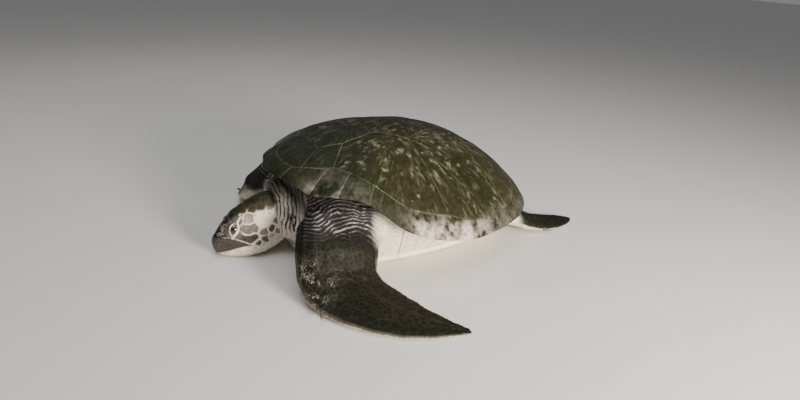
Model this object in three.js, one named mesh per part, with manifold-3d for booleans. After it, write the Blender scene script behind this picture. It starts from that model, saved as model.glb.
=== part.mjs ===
// An adult green sea turtle (Chelonia mydas), life size, resting on a flat floor:
// plastron down, chin on the floor, neck drawn in, front flippers swept back.
// Millimetres. The head points to -Y, the animal's left side is +X, +Z is up, and
// the origin is the middle of the footprint's box, on the floor.
import * as THREE from 'three';
import { mergeVertices } from 'three/addons/utils/BufferGeometryUtils.js';
import Module from 'manifold-3d';

// ---- driving dimensions -------------------------------------------------------

const GAP = 0.35; // clearance between neighbouring pieces
const SEAM = 1.6; // width of the seams between shell plates
const JOIN_GAP = 0.5; // between the upper part of a limb and its paddle

// Carapace: a dome over an egg-shaped outline, measured from the shell's centre.
const SHELL_HALF_WIDTH = 400;
const SHELL_FRONT = 432;
const SHELL_REAR = 541;
const SHELL_HEIGHT = 400;
const PLATE_THICKNESS = 14;
const LIP = 3; // how far the rounded edge stands out
const NORMAL_STEP = 0.01; // of the outline, for measuring the surface's slope
const OUTERMOST_NORMAL = 0.985; // the slope is measured no nearer the edge than this
const OUTLINE_POWER = [1.9, 1.95]; // front and rear half of the outline
const DOME_POWER = [1.75, 0.85];
// Height of the shell's edge, by angle from the front in degrees: it arches up
// over each front limb and is low along the bridge and the rear.
const EDGE_HEIGHT = [
  [0, 274], [20, 272], [30, 258], [40, 268], [52, 266], [61, 234], [70, 186],
  [80, 156], [92, 134], [105, 117], [125, 114], [150, 104], [180, 106],
];
// Inner border of the marginal plates, as a fraction of the outline.
const MARGINAL_BORDER = [
  [0, 0.9], [13, 0.895], [24, 0.83], [31, 0.775], [40, 0.8], [55, 0.87], [72, 0.885],
  [94, 0.89], [106, 0.92], [122, 0.935], [138, 0.93], [155, 0.9], [180, 0.85],
];

// Vertebral plates: the corners of the row's left border as [y, half width], widest
// where two costal plates meet, and the angles where it runs into the marginals.
const VERTEBRAL_CORNERS = [
  [-284, 52], [-214, 84], [-112, 70], [-8, 124], [96, 72], [204, 112], [290, 62], [396, 92],
];
const VERTEBRAL_ENDS = [17, 171];
const VERTEBRAL_SEAMS = [-284, -112, 96, 290]; // cross the midline
const COSTAL_SEAMS = [[-214, 31], [-8, 94], [204, 135]]; // [y of inner end, angle of outer end]
const NUCHAL_ANGLE = 12;
const MARGINAL_SEAMS = [29, 118]; // angles that part the front, bridge and rear marginals

// Plastron: flat on the floor.
const PLASTRON_HALF_WIDTH = 250;
const PLASTRON_FRONT = 372;
const PLASTRON_REAR = 392;
const PLASTRON_THICKNESS = 26;
const PLASTRON_POWER = [3.2, 2.3]; // front and rear half of its outline
const BRIDGE_ANGLES = [72, 118]; // the bridge joins plastron and carapace here
const BRIDGE_THICKNESS = 9;
const BRIDGE_TOP = 0.06; // share of the flank left free above the bridge
const PLASTRON_TOP = 0.8; // part of its outline that the trunk stands on
// Its edge in section, as [fraction of the outline, share of the thickness].
const PLASTRON_EDGE = [[0.94, 0], [0.985, 0.25], [1, 0.6], [0.97, 1]];
const FLANK_START = 0.94; // fraction of the outline under which the flank begins
const FLANK_DROP = 8; // below the plates there
const FLANK_INSET = 6;
const PLASTRON_OVERHANG = 1; // the plastron stands out past the flank
// How far the flesh between shell edge and plastron swells, by angle: hollow beside
// the neck, full at the shoulders.
const FLANK_BULGE = [
  [0, -14], [14, -8], [28, 44], [50, 44], [66, 6], [72, 0], [120, 0], [150, 10], [180, 4],
];

// Head: stations back from the beak's tip, along its own axis. Each row holds
// [distance, top, bottom, half width], heights being above the mouth's line.
const HEAD_TIP = new THREE.Vector3(0, -611, 36);
const HEAD_PITCH = 10; // nose down, in degrees
const HEAD_STATIONS = [
  [0, 12, -8, 8], [4, 22, -18, 15], [14, 35, -33, 24], [32, 52, -43, 37], [56, 71, -52, 50],
  [84, 89, -60, 62], [118, 104, -62, 70], [160, 117, -56, 75], [200, 122, -38, 73],
  [222, 117, -24, 66],
];
const HEAD_POWER = [0.85, 0.68]; // roundness of the head's section, above and below
const THROAT_NARROWING = 0.1;
const MOUTH_LINE = [[0, -24], [52, -11], [106, -5]]; // back from the tip, and height
const JAW_ANGLE = [150, -62]; // where the lower jaw ends under the cheek
const UPPER_BEAK = [92, 30, 2]; // length, height at the front, height at the back
const LOWER_BEAK = [40, -34, -24];
const BEAK_SLOPE = [0.55, 0.5]; // share of each length at its full height
const EYE_RADIUS = 19;
const EYE_CENTRE = [72, 50, 31]; // back from the tip, up, out from the midline

// Neck, drawn in under the shell: rows of [y, centre height, half width, half height].
const NECK_STATIONS = [
  [-320, 128, 165, 98], [-360, 130, 152, 98], [-386, 133, 130, 96], [-408, 136, 106, 92],
  [-420, 137, 90, 78],
];

// Left limbs: rows of [leading edge, trailing edge, height above, depth below] for
// sections from the body outward. The last rows form the paddle's rounded tip.
const FORELIMB = [
  [[138, -340, 166], [170, -150, 140], 90, 96],
  [[214, -406, 164], [262, -165, 112], 92, 106],
  [[284, -437, 114], [315, -188, 72], 66, 80],
  [[330, -448, 58], [342, -204, 40], 46, 50],
  [[385, -444, 28], [380, -200, 28], 34, 26],
  [[450, -420, 18], [426, -184, 25], 26, 18],
  [[514, -378, 14], [480, -164, 21], 21, 14],
  [[570, -326, 12], [532, -142, 17], 17, 12],
  [[618, -262, 10], [576, -120, 14], 14, 10],
  [[650, -186, 9], [618, -98, 11], 11, 9],
  [[666, -112, 8], [650, -78, 8], 7, 7],
  [[668, -86, 6], [662, -74, 6], 4, 5],
];
const ELBOW = 4; // index of the section where the upper arm ends
const TRAILING_TAPER = 0.25; // how much thinner a paddle is along its rear edge
const TAPER_SECTIONS = 5; // sections over which the taper grows
const HIND_LIMB = [
  [[190, 300, 95], [70, 380, 85], 50, 50],
  [[238, 398, 62], [112, 440, 58], 40, 40],
  [[262, 462, 34], [132, 490, 34], 28, 30],
  [[274, 524, 18], [142, 540, 20], 18, 18],
  [[272, 592, 12], [154, 602, 12], 13, 12],
  [[256, 652, 9], [172, 658, 9], 9, 9],
  [[234, 690, 7], [196, 694, 7], 6, 7],
  [[220, 702, 6], [208, 703, 6], 4, 5],
];
const ANKLE = 2;
// Tail: rows of [y, height, radius].
const TAIL = [[390, 66, 44], [450, 52, 34], [510, 36, 22], [552, 24, 11], [566, 20, 4]];
const CLAW_LENGTH = 24;
const CLAW_ROOT = 8; // how deep it sits in the paddle
const CLAW_RADII = [6, 4.5, 1]; // at the root, the middle and the tip
const CLAW_MIDDLE = 0.45; // where the middle radius is
const FORE_CLAW = [5, 0.8]; // section of the claw, and its turn from the limb's line
const HIND_CLAW = [3, 0.5];

const wasm = await Module();
wasm.setup();

// ---- small geometry helpers ---------------------------------------------------

const radians = THREE.MathUtils.degToRad;
const mix = THREE.MathUtils.lerp;

// Smooth curve through [x, y] knots.
function smooth(knots, x) {
  const last = knots.length - 1;
  if (x <= knots[0][0]) return knots[0][1];
  if (x >= knots[last][0]) return knots[last][1];
  const i = knots.findIndex((knot) => knot[0] > x) - 1;
  const slope = (j) => {
    const before = knots[Math.max(j - 1, 0)];
    const after = knots[Math.min(j + 1, last)];
    return (after[1] - before[1]) / (after[0] - before[0]);
  };
  const step = knots[i + 1][0] - knots[i][0];
  const t = (x - knots[i][0]) / step;
  const rise = t * t * (3 - 2 * t);
  const leave = t * (1 - t) * (1 - t);
  const arrive = t * t * (t - 1);
  return mix(knots[i][1], knots[i + 1][1], rise) + step * (leave * slope(i) + arrive * slope(i + 1));
}

function signedVolume(points, index) {
  let sum = 0;
  const cross = new THREE.Vector3();
  for (let i = 0; i < index.length; i += 3) {
    cross.crossVectors(points[index[i + 1]], points[index[i + 2]]);
    sum += points[index[i]].dot(cross) / 6;
  }
  return sum;
}

// A closed body through rings of equal point count, capped at both ends.
function ringBody(rings) {
  const count = rings[0].length;
  const points = rings.flat();
  const index = [];
  for (let i = 0; i + 1 < rings.length; i += 1) {
    for (let j = 0; j < count; j += 1) {
      const a = i * count + j;
      const b = i * count + ((j + 1) % count);
      index.push(a, b, b + count, a, b + count, a + count);
    }
  }
  [0, rings.length - 1].forEach((i) => {
    const centre = new THREE.Vector3();
    rings[i].forEach((point) => centre.addScaledVector(point, 1 / count));
    points.push(centre);
    for (let j = 0; j < count; j += 1) {
      const a = i * count + j;
      const b = i * count + ((j + 1) % count);
      index.push(...(i === 0 ? [points.length - 1, b, a] : [points.length - 1, a, b]));
    }
  });
  if (signedVolume(points, index) < 0) index.reverse();
  const geometry = new THREE.BufferGeometry().setFromPoints(points);
  geometry.setIndex(index);
  return toSolid(geometry);
}

function toSolid(geometry) {
  geometry.deleteAttribute('normal');
  geometry.deleteAttribute('uv');
  const merged = mergeVertices(geometry, 1e-4);
  return new wasm.Manifold(new wasm.Mesh({
    numProp: 3,
    vertProperties: Float32Array.from(merged.attributes.position.array),
    triVerts: Uint32Array.from(merged.index.array),
  }));
}

function toGeometry(solid) {
  const mesh = solid.getMesh();
  const geometry = new THREE.BufferGeometry();
  geometry.setAttribute('position', new THREE.BufferAttribute(mesh.vertProperties, 3));
  geometry.setIndex(new THREE.BufferAttribute(mesh.triVerts, 1));
  geometry.computeVertexNormals();
  return geometry;
}

// The largest body left by a cut; slivers beside it are dropped.
function main(solid) {
  return solid.decompose().sort((a, b) => b.volume() - a.volume())[0];
}

// A plan outline of [x, y] points, extruded up through the whole shell.
function column(outline) {
  const shape = new THREE.Shape(outline.map(([x, y]) => new THREE.Vector2(x, y)));
  return toSolid(new THREE.ExtrudeGeometry(shape, { depth: 2 * SHELL_HEIGHT, bevelEnabled: false }));
}

// A thin upright wall along a plan line of [x, y] points.
function wall(line, thickness) {
  const side = (sign) => line.map((point, i) => {
    const before = line[Math.max(i - 1, 0)];
    const after = line[Math.min(i + 1, line.length - 1)];
    const along = new THREE.Vector2(after[0] - before[0], after[1] - before[1]).normalize();
    const reach = sign * thickness / 2;
    return [point[0] - along.y * reach, point[1] + along.x * reach];
  });
  return column([...side(1), ...side(-1).reverse()]);
}

const mirrored = (outline) => outline.map(([x, y]) => [-x, y]);

// ---- the shell's own form -----------------------------------------------------

// Distance from the shell's centre to its edge, at an angle from the front.
function edgeRadius(degrees) {
  const front = Math.cos(radians(degrees));
  const side = Math.abs(Math.sin(radians(degrees)));
  const [length, power] = front > 0
    ? [SHELL_FRONT, OUTLINE_POWER[0]]
    : [SHELL_REAR, OUTLINE_POWER[1]];
  const sum = (Math.abs(front) / length) ** power + (side / SHELL_HALF_WIDTH) ** power;
  return sum ** (-1 / power);
}

function planPoint(degrees, radius) {
  return [radius * Math.sin(radians(degrees)), -radius * Math.cos(radians(degrees))];
}

function shellTop(degrees, fraction) {
  const edge = smooth(EDGE_HEIGHT, Math.abs(degrees));
  const rise = Math.max(1 - fraction ** DOME_POWER[0], 0) ** DOME_POWER[1];
  const [x, y] = planPoint(degrees, edgeRadius(degrees) * fraction);
  return new THREE.Vector3(x, y, mix(edge, SHELL_HEIGHT, rise));
}

// A point a given depth under the shell's surface, along its normal.
function shellPoint(degrees, fraction, depth) {
  const inner = Math.min(fraction, OUTERMOST_NORMAL);
  const along = shellTop(degrees, inner + NORMAL_STEP).sub(shellTop(degrees, inner - NORMAL_STEP));
  const around = shellTop(degrees + 1, inner).sub(shellTop(degrees - 1, inner));
  const normal = around.cross(along).normalize();
  if (normal.z < 0) normal.negate();
  return shellTop(degrees, fraction).addScaledVector(normal, -depth);
}

function plastronRadius(degrees) {
  const front = Math.cos(radians(degrees));
  const side = Math.abs(Math.sin(radians(degrees)));
  const [length, power] = front > 0
    ? [PLASTRON_FRONT, PLASTRON_POWER[0]]
    : [PLASTRON_REAR, PLASTRON_POWER[1]];
  const sum = (Math.abs(front) / length) ** power + (side / PLASTRON_HALF_WIDTH) ** power;
  return sum ** (-1 / power);
}

// The wall between the shell's edge (0) and the plastron (1), grown outward.
function flankPoint(degrees, fraction, growth) {
  const top = shellPoint(degrees, FLANK_START, PLATE_THICKNESS + FLANK_DROP);
  const topRadius = Math.hypot(top.x, top.y) - FLANK_INSET;
  const bottomRadius = plastronRadius(degrees) - PLASTRON_OVERHANG;
  const bulge = smooth(FLANK_BULGE, Math.abs(degrees));
  const radius = mix(topRadius, bottomRadius, fraction) + bulge * Math.sin(Math.PI * fraction);
  const [x, y] = planPoint(degrees, radius + growth);
  const height = mix(top.z, PLASTRON_THICKNESS + GAP, fraction);
  return new THREE.Vector3(x, y, height - Math.max(growth, 0));
}

// Fraction of the outline where the marginal plates begin.
const borderFraction = (degrees) => (
  smooth(MARGINAL_BORDER, Math.min(Math.abs(degrees), 360 - degrees))
);

// Rings of points, one at each angle round the shell.
const SHELL_SIDES = 42;
const SHELL_ANGLES = Array.from({ length: SHELL_SIDES }, (_, i) => -180 + (i * 360) / SHELL_SIDES);
const DOME_STEPS = [0.2, 0.42, 0.62, 0.8, 1]; // from the crown to the marginals
const INNER_STEPS = [0.42, 0.8, 1]; // the same, under the plates
const MARGIN_STEPS = [0.5, 1]; // from there to the edge
const FLANK_STEPS = [0, 0.35, 0.7, 1]; // from the edge down to the plastron
const ring = (pointAt) => SHELL_ANGLES.map((degrees) => pointAt(degrees));

const domeRings = (depth, steps = DOME_STEPS) => steps.map((step) => (
  ring((degrees) => shellPoint(degrees, step * borderFraction(degrees), depth))
));
const marginRings = (depth) => MARGIN_STEPS.map((step) => (
  ring((degrees) => shellPoint(degrees, mix(borderFraction(degrees), 1, step), depth))
));
const flankRings = (growth) => FLANK_STEPS.map((step) => (
  ring((degrees) => flankPoint(degrees, step, growth))
));

function carapaceSlab(outer, inner) {
  const lip = (degrees) => {
    const point = shellPoint(degrees, 1, (outer + inner) / 2);
    const [x, y] = planPoint(degrees, LIP);
    return point.add(new THREE.Vector3(x, y, 0));
  };
  return ringBody([
    ...domeRings(inner, INNER_STEPS),
    ...marginRings(inner),
    ring(lip),
    ...marginRings(outer).reverse(),
    ...domeRings(outer).reverse(),
  ]);
}

// The whole shelled body as one block, grown by a clearance: limbs are cut to it.
function shelledBody(growth) {
  return ringBody([
    ...domeRings(-growth, INNER_STEPS),
    ...marginRings(-growth),
    ...marginRings(PLATE_THICKNESS + growth).reverse(),
    ...flankRings(growth),
    ring((degrees) => {
      const [x, y] = planPoint(degrees, plastronRadius(degrees) * PLASTRON_EDGE[0][0] + growth);
      return new THREE.Vector3(x, y, -growth);
    }),
  ]);
}

// ---- the model ----------------------------------------------------------------

const COLOURS = {
  carapace: 0x4b4a2b,
  plastron: 0xe4dcc0,
  skin: 0x4e4744,
  head: 0x6a6042,
  beak: 0xa89868,
  flipper: 0x2e2d26,
  eye: 0x120f0c,
  claw: 0x3a342a,
};
const model = new THREE.Group();

function add(name, solid, colour, roughness) {
  const material = new THREE.MeshStandardMaterial({ color: colour, roughness, metalness: 0 });
  const mesh = new THREE.Mesh(toGeometry(solid), material);
  mesh.name = name;
  model.add(mesh);
}

// ---- carapace plates ----------------------------------------------------------

const borderPoint = (degrees) => planPoint(degrees, edgeRadius(degrees) * borderFraction(degrees));

// The marginals' inner border between two angles, through the shell's own ring points.
function borderArc(from, to) {
  const step = 360 / SHELL_SIDES;
  const first = Math.floor(from / step) + 1;
  const count = Math.ceil(to / step) - first;
  const between = Array.from({ length: count }, (_, i) => (first + i) * step);
  return [from, ...between, to].map(borderPoint);
}

const cornerPoint = ([y, halfWidth]) => [halfWidth, y];
const cornersBetween = (from, to) => VERTEBRAL_CORNERS
  .filter(([y]) => y >= from && y <= to)
  .map(cornerPoint);
const CLEAR_OF_RIM = 1.12;
const outside = (degrees) => planPoint(degrees, edgeRadius(degrees) * CLEAR_OF_RIM);

// Thin walls in plan that part the slab into its plates.
function plateSeams() {
  const [front, rear] = VERTEBRAL_ENDS.map(borderPoint);
  const row = [front, ...VERTEBRAL_CORNERS.map(cornerPoint), rear];
  const oneSide = [
    borderArc(0, 180),
    row,
    ...[NUCHAL_ANGLE, ...MARGINAL_SEAMS].map((degrees) => [borderPoint(degrees), outside(degrees)]),
    ...COSTAL_SEAMS.map(([y, degrees]) => [...cornersBetween(y, y), borderPoint(degrees)]),
  ];
  const middle = [
    [borderPoint(180), outside(180)],
    ...VERTEBRAL_SEAMS.map((y) => [...cornersBetween(y, y), ...mirrored(cornersBetween(y, y))]),
  ];
  return [...oneSide, ...oneSide.map(mirrored), ...middle].map((line) => wall(line, SEAM));
}

function addCarapace() {
  const parted = carapaceSlab(0, PLATE_THICKNESS).subtract(wasm.Manifold.union(plateSeams()));
  const plate = (name, outline) => {
    add(name, main(parted.intersect(column(outline))), COLOURS.carapace, 0.55);
  };
  const [frontEnd, rearEnd] = VERTEBRAL_ENDS;
  const nuchalBack = borderArc(-NUCHAL_ANGLE, NUCHAL_ANGLE);
  plate('nuchal_plate', [...nuchalBack, outside(NUCHAL_ANGLE), outside(0), outside(-NUCHAL_ANGLE)]);
  const rowEnds = [-SHELL_FRONT, ...VERTEBRAL_SEAMS, SHELL_REAR];
  rowEnds.slice(1).forEach((rear, i) => {
    const left = cornersBetween(rowEnds[i], rear);
    const front = i === 0 ? borderArc(-frontEnd, frontEnd) : [];
    const back = i === VERTEBRAL_SEAMS.length ? borderArc(rearEnd, 360 - rearEnd) : [];
    plate(`vertebral_plate_${i + 1}`, [...front, ...left, ...back, ...mirrored(left).reverse()]);
  });
  const seams = [[-SHELL_FRONT, frontEnd], ...COSTAL_SEAMS, [SHELL_REAR, rearEnd]];
  seams.slice(1).forEach(([rear, rearAngle], i) => {
    const [front, frontAngle] = seams[i];
    const outline = [...borderArc(frontAngle, rearAngle), ...cornersBetween(front, rear).reverse()];
    plate(`costal_plate_left_${i + 1}`, outline);
    plate(`costal_plate_right_${i + 1}`, mirrored(outline));
  });
  const RIM_STEPS = 8;
  const margins = [NUCHAL_ANGLE, ...MARGINAL_SEAMS, 180];
  ['front', 'bridge', 'rear'].forEach((group, i) => {
    const [from, to] = [margins[i], margins[i + 1]];
    const rim = Array.from({ length: RIM_STEPS + 1 }, (_, j) => outside(mix(to, from, j / RIM_STEPS)));
    const outline = [...borderArc(from, to), ...rim];
    plate(`marginal_plates_${group}_left`, outline);
    plate(`marginal_plates_${group}_right`, mirrored(outline));
  });
}

// ---- plastron, bridges and trunk ----------------------------------------------

const plastronRing = (fraction, height, growth) => ring((degrees) => {
  const [x, y] = planPoint(degrees, plastronRadius(degrees) * fraction + growth);
  return new THREE.Vector3(x, y, height);
});

function plastronBody(growth) {
  return ringBody(PLASTRON_EDGE.map(([fraction, share], i) => {
    const raised = [-growth, 0, 0, growth][i];
    return plastronRing(fraction, PLASTRON_THICKNESS * share + raised, growth);
  }));
}

function bridgeBody(growth) {
  const [from, to] = BRIDGE_ANGLES;
  const steps = 8;
  const lift = 0.03; // share of the flank that one millimetre of growth takes
  const top = BRIDGE_TOP - growth * lift;
  const parts = [top, ...FLANK_STEPS.slice(1)];
  return ringBody(Array.from({ length: steps + 1 }, (_, i) => {
    const degrees = mix(from - growth / 2, to + growth / 2, i / steps);
    const outer = parts.map((part) => flankPoint(degrees, part, growth));
    const inner = parts.map((part) => flankPoint(degrees, part, -BRIDGE_THICKNESS - growth));
    return [...outer, ...inner.reverse()];
  }));
}

function addUnderside() {
  const bridge = bridgeBody(0);
  add('plastron', plastronBody(0), COLOURS.plastron, 0.6);
  add('bridge_left', bridge, COLOURS.plastron, 0.6);
  add('bridge_right', bridge.mirror([1, 0, 0]), COLOURS.plastron, 0.6);

  const cut = bridgeBody(3 * GAP); // the flat facets on either side need more room
  const trunk = ringBody([
    ...domeRings(PLATE_THICKNESS + 4 * GAP, INNER_STEPS),
    ...flankRings(0),
    plastronRing(PLASTRON_TOP, PLASTRON_THICKNESS + GAP, 0),
  ]);
  const limbs = trunk.subtract(plastronBody(GAP)).subtract(cut).subtract(cut.mirror([1, 0, 0]));
  add('trunk', main(limbs), COLOURS.skin, 0.75);
}

// ---- head and neck ------------------------------------------------------------

// A point in the head's own frame: back from the beak's tip, up, and out sideways.
function headPoint(back, up, out) {
  const pitch = radians(HEAD_PITCH);
  const y = back * Math.cos(pitch) - up * Math.sin(pitch);
  const z = back * Math.sin(pitch) + up * Math.cos(pitch);
  return new THREE.Vector3(out, y, Math.max(z, -HEAD_TIP.z)).add(HEAD_TIP);
}

function headBody(growth) {
  const sides = 20;
  const last = HEAD_STATIONS.length - 1;
  return ringBody(HEAD_STATIONS.map(([station, top, bottom, halfWidth], i) => (
    Array.from({ length: sides }, (_, j) => {
      const back = i === last ? station + growth : station;
      const angle = ((j + 0.5) * 2 * Math.PI) / sides;
      const power = HEAD_POWER[Math.cos(angle) > 0 ? 0 : 1];
      const across = Math.sign(Math.sin(angle)) * Math.abs(Math.sin(angle)) ** power;
      const upward = Math.sign(Math.cos(angle)) * Math.abs(Math.cos(angle)) ** power;
      const reach = upward > 0 ? top : -bottom;
      const narrowing = upward < 0 ? 1 + THROAT_NARROWING * upward : 1;
      return headPoint(back, (reach + growth) * upward, (halfWidth + growth) * across * narrowing);
    })
  )));
}

// A block right across the head, over an outline of [back, up] points in profile.
function profileBlock(outline) {
  const reach = 2 * HEAD_STATIONS.at(-1)[3];
  const shape = new THREE.Shape(outline.map(([back, up]) => new THREE.Vector2(back, up)));
  const geometry = new THREE.ExtrudeGeometry(shape, { depth: 2 * reach, bevelEnabled: false });
  geometry.translate(0, 0, -reach);
  const pitch = radians(HEAD_PITCH);
  const frame = new THREE.Matrix4().makeBasis(
    new THREE.Vector3(0, Math.cos(pitch), Math.sin(pitch)),
    new THREE.Vector3(0, -Math.sin(pitch), Math.cos(pitch)),
    new THREE.Vector3(1, 0, 0),
  );
  return toSolid(geometry.applyMatrix4(frame.setPosition(HEAD_TIP)));
}

function addHead() {
  const whole = headBody(0);
  const [ahead, under] = [-40, -120]; // well clear of the head
  const mouthLine = (gap) => MOUTH_LINE.map(([back, up], i) => (
    [i === MOUTH_LINE.length - 1 ? back + gap : back, up + gap]
  ));
  const jawOutline = (gap) => [
    [ahead, MOUTH_LINE[0][1] + gap], ...mouthLine(gap), [JAW_ANGLE[0] + gap, JAW_ANGLE[1]],
    [JAW_ANGLE[0] + gap, under], [ahead, under],
  ];
  const jaw = whole.intersect(profileBlock(jawOutline(0)));
  const cranium = whole.subtract(profileBlock(jawOutline(GAP)));
  // A beak's outline in profile, open towards the mouth: up is 1 above it, -1 below.
  const beakOutline = ([length, front, back], slope, up, gap) => [
    [ahead, up * ahead], [length + gap, up * ahead], [length + gap, back],
    [length * slope, front + up * gap], [ahead, front + up * gap],
  ];
  const upperOutline = (gap) => beakOutline(UPPER_BEAK, BEAK_SLOPE[0], 1, gap);
  const lowerOutline = (gap) => beakOutline(LOWER_BEAK, BEAK_SLOPE[1], -1, gap);
  const [eyeBack, eyeUp, eyeOut] = EYE_CENTRE;
  const eye = (side, radius) => {
    const centre = headPoint(eyeBack, eyeUp, side * eyeOut);
    return toSolid(new THREE.SphereGeometry(radius, 12, 8).translate(centre.x, centre.y, centre.z));
  };
  const sockets = wasm.Manifold.union([eye(1, EYE_RADIUS + GAP), eye(-1, EYE_RADIUS + GAP)]);
  const head = cranium.subtract(profileBlock(upperOutline(GAP))).subtract(sockets);
  add('head', main(head), COLOURS.head, 0.6);
  add('beak_upper', main(cranium.intersect(profileBlock(upperOutline(0)))), COLOURS.beak, 0.45);
  add('lower_jaw', main(jaw.subtract(profileBlock(lowerOutline(GAP)))), COLOURS.head, 0.6);
  add('beak_lower', main(jaw.intersect(profileBlock(lowerOutline(0)))), COLOURS.beak, 0.45);
  add('eye_left', eye(1, EYE_RADIUS), COLOURS.eye, 0.1);
  add('eye_right', eye(-1, EYE_RADIUS), COLOURS.eye, 0.1);
}

function neckBody(growth) {
  const sides = 20;
  return ringBody(NECK_STATIONS.map(([y, height, halfWidth, halfHeight]) => (
    Array.from({ length: sides }, (_, j) => {
      const angle = (j * 2 * Math.PI) / sides;
      const x = (halfWidth + growth) * Math.sin(angle);
      const z = height + (halfHeight + growth) * Math.cos(angle);
      return new THREE.Vector3(x, y, z);
    })
  )));
}

// ---- limbs and tail -----------------------------------------------------------

const sectionCentre = ([leading, trailing]) => (
  new THREE.Vector3(...leading).add(new THREE.Vector3(...trailing)).multiplyScalar(0.5)
);

// The limb's own direction at one of its sections.
function limbLine(rows, i) {
  const after = sectionCentre(rows[Math.min(i + 1, rows.length - 1)]);
  return after.sub(sectionCentre(rows[Math.max(i - 1, 0)])).normalize();
}

// One ring for each section: round near the body, thin along the trailing edge
// of the paddle, and flattened where it rests on the floor.
function limbRings(rows) {
  const sides = 16;
  return rows.map((row, i) => {
    const [leading, trailing, above, below] = row;
    const chord = new THREE.Vector3(...leading).sub(new THREE.Vector3(...trailing));
    const up = new THREE.Vector3().crossVectors(limbLine(rows, i), chord).normalize();
    if (up.z < 0) up.negate();
    const taper = TRAILING_TAPER * Math.min(1, i / TAPER_SECTIONS);
    return Array.from({ length: sides }, (_, j) => {
      const angle = (j * 2 * Math.PI) / sides;
      const thickness = Math.sin(angle) * (1 - taper * (1 - Math.cos(angle)));
      const point = sectionCentre(row)
        .addScaledVector(chord, Math.cos(angle) / 2)
        .addScaledVector(up, thickness * (thickness > 0 ? above : below));
      point.z = Math.max(point.z, 0);
      return point;
    });
  });
}

// A round tapering body along a straight or bent line of points.
function taperedBody(points, radii, sides) {
  const line = points.at(-1).clone().sub(points[0]).normalize();
  const across = new THREE.Vector3(-line.y, line.x, 0).normalize();
  const up = new THREE.Vector3().crossVectors(across, line);
  return ringBody(points.map((point, i) => Array.from({ length: sides }, (_, j) => {
    const angle = (j * 2 * Math.PI) / sides;
    return point.clone()
      .addScaledVector(across, radii[i] * Math.cos(angle))
      .addScaledVector(up, radii[i] * Math.sin(angle));
  })));
}

// The claw on a paddle's leading edge, turned forward from the limb's line.
function clawBody(rows, [section, turn], growth) {
  const base = new THREE.Vector3(...rows[section][0]);
  const line = limbLine(rows, section).setZ(0).normalize();
  line.applyAxisAngle(new THREE.Vector3(0, 0, 1), -turn);
  const at = (distance) => base.clone().addScaledVector(line, distance);
  const points = [at(-CLAW_ROOT - growth), at(CLAW_LENGTH * CLAW_MIDDLE), at(CLAW_LENGTH + growth)];
  return taperedBody(points, CLAW_RADII.map((radius) => radius + growth), 8);
}

function addLimbPair(rows, joint, claw, names, block) {
  const [upperName, paddleName, clawName] = names;
  const rings = limbRings(rows);
  const offset = limbLine(rows, joint).setZ(0).setLength(JOIN_GAP);
  const moved = (points) => points.map((point) => point.clone().add(offset));
  const outer = rings.slice(joint).map(moved);
  const upper = ringBody(rings.slice(0, joint + 1));
  const paddle = ringBody(outer).subtract(clawBody(rows, claw, GAP));
  ['left', 'right'].forEach((side) => {
    const placed = (solid) => (side === 'left' ? solid : solid.mirror([1, 0, 0]));
    add(`${upperName}_${side}`, main(placed(upper).subtract(block)), COLOURS.skin, 0.75);
    add(`${paddleName}_${side}`, main(placed(paddle).subtract(block)), COLOURS.flipper, 0.65);
    add(`${clawName}_${side}`, placed(clawBody(rows, claw, 0)), COLOURS.claw, 0.4);
  });
}

// ---- the whole animal ---------------------------------------------------------

const shellBlock = shelledBody(GAP);
const forwardBlock = shellBlock.add(neckBody(GAP));
addCarapace();
addUnderside();
addHead();
add('neck', main(neckBody(0).subtract(shellBlock).subtract(headBody(GAP))), COLOURS.skin, 0.75);
addLimbPair(FORELIMB, ELBOW, FORE_CLAW, ['upper_arm', 'front_flipper', 'front_claw'], forwardBlock);
addLimbPair(HIND_LIMB, ANKLE, HIND_CLAW, ['thigh', 'hind_flipper', 'hind_claw'], shellBlock);
const tail = taperedBody(
  TAIL.map(([y, height]) => new THREE.Vector3(0, y, height)),
  TAIL.map(([, , radius]) => radius),
  14,
);
add('tail', main(tail.subtract(shellBlock)), COLOURS.skin, 0.75);

// The origin is put at the middle of the footprint's box, on the floor.
const box = new THREE.Box3().setFromObject(model);
const centre = box.getCenter(new THREE.Vector3());
model.position.set(-centre.x, -centre.y, -box.min.z);
export default model;
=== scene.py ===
# An adult green sea turtle (Chelonia mydas) at life size, resting on its plastron.
# Shapes are worked out in millimetres round the shell's centre, as in the CAD source
# (head towards -Y, left side +X, floor at z = 0), and placed in the row frame in metres.
import math

import bmesh
import bpy
import numpy as np
from mathutils import Matrix, Vector
from mathutils.kdtree import KDTree


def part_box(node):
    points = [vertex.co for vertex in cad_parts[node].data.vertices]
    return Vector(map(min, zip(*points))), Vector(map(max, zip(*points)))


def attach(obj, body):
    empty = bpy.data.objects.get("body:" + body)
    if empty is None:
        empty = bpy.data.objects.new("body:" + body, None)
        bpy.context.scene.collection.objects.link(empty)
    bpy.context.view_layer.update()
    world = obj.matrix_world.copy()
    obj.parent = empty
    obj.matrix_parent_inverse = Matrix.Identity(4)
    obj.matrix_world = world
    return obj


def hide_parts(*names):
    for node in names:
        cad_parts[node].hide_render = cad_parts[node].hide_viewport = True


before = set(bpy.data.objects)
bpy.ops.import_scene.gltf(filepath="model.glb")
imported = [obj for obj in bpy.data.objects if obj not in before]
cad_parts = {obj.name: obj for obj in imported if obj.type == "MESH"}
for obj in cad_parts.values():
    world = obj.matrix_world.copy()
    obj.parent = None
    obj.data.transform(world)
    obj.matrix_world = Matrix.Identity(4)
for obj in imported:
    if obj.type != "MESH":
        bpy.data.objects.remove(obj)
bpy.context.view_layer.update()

# ---- driving dimensions, in millimetres and degrees --------------------------------

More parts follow.
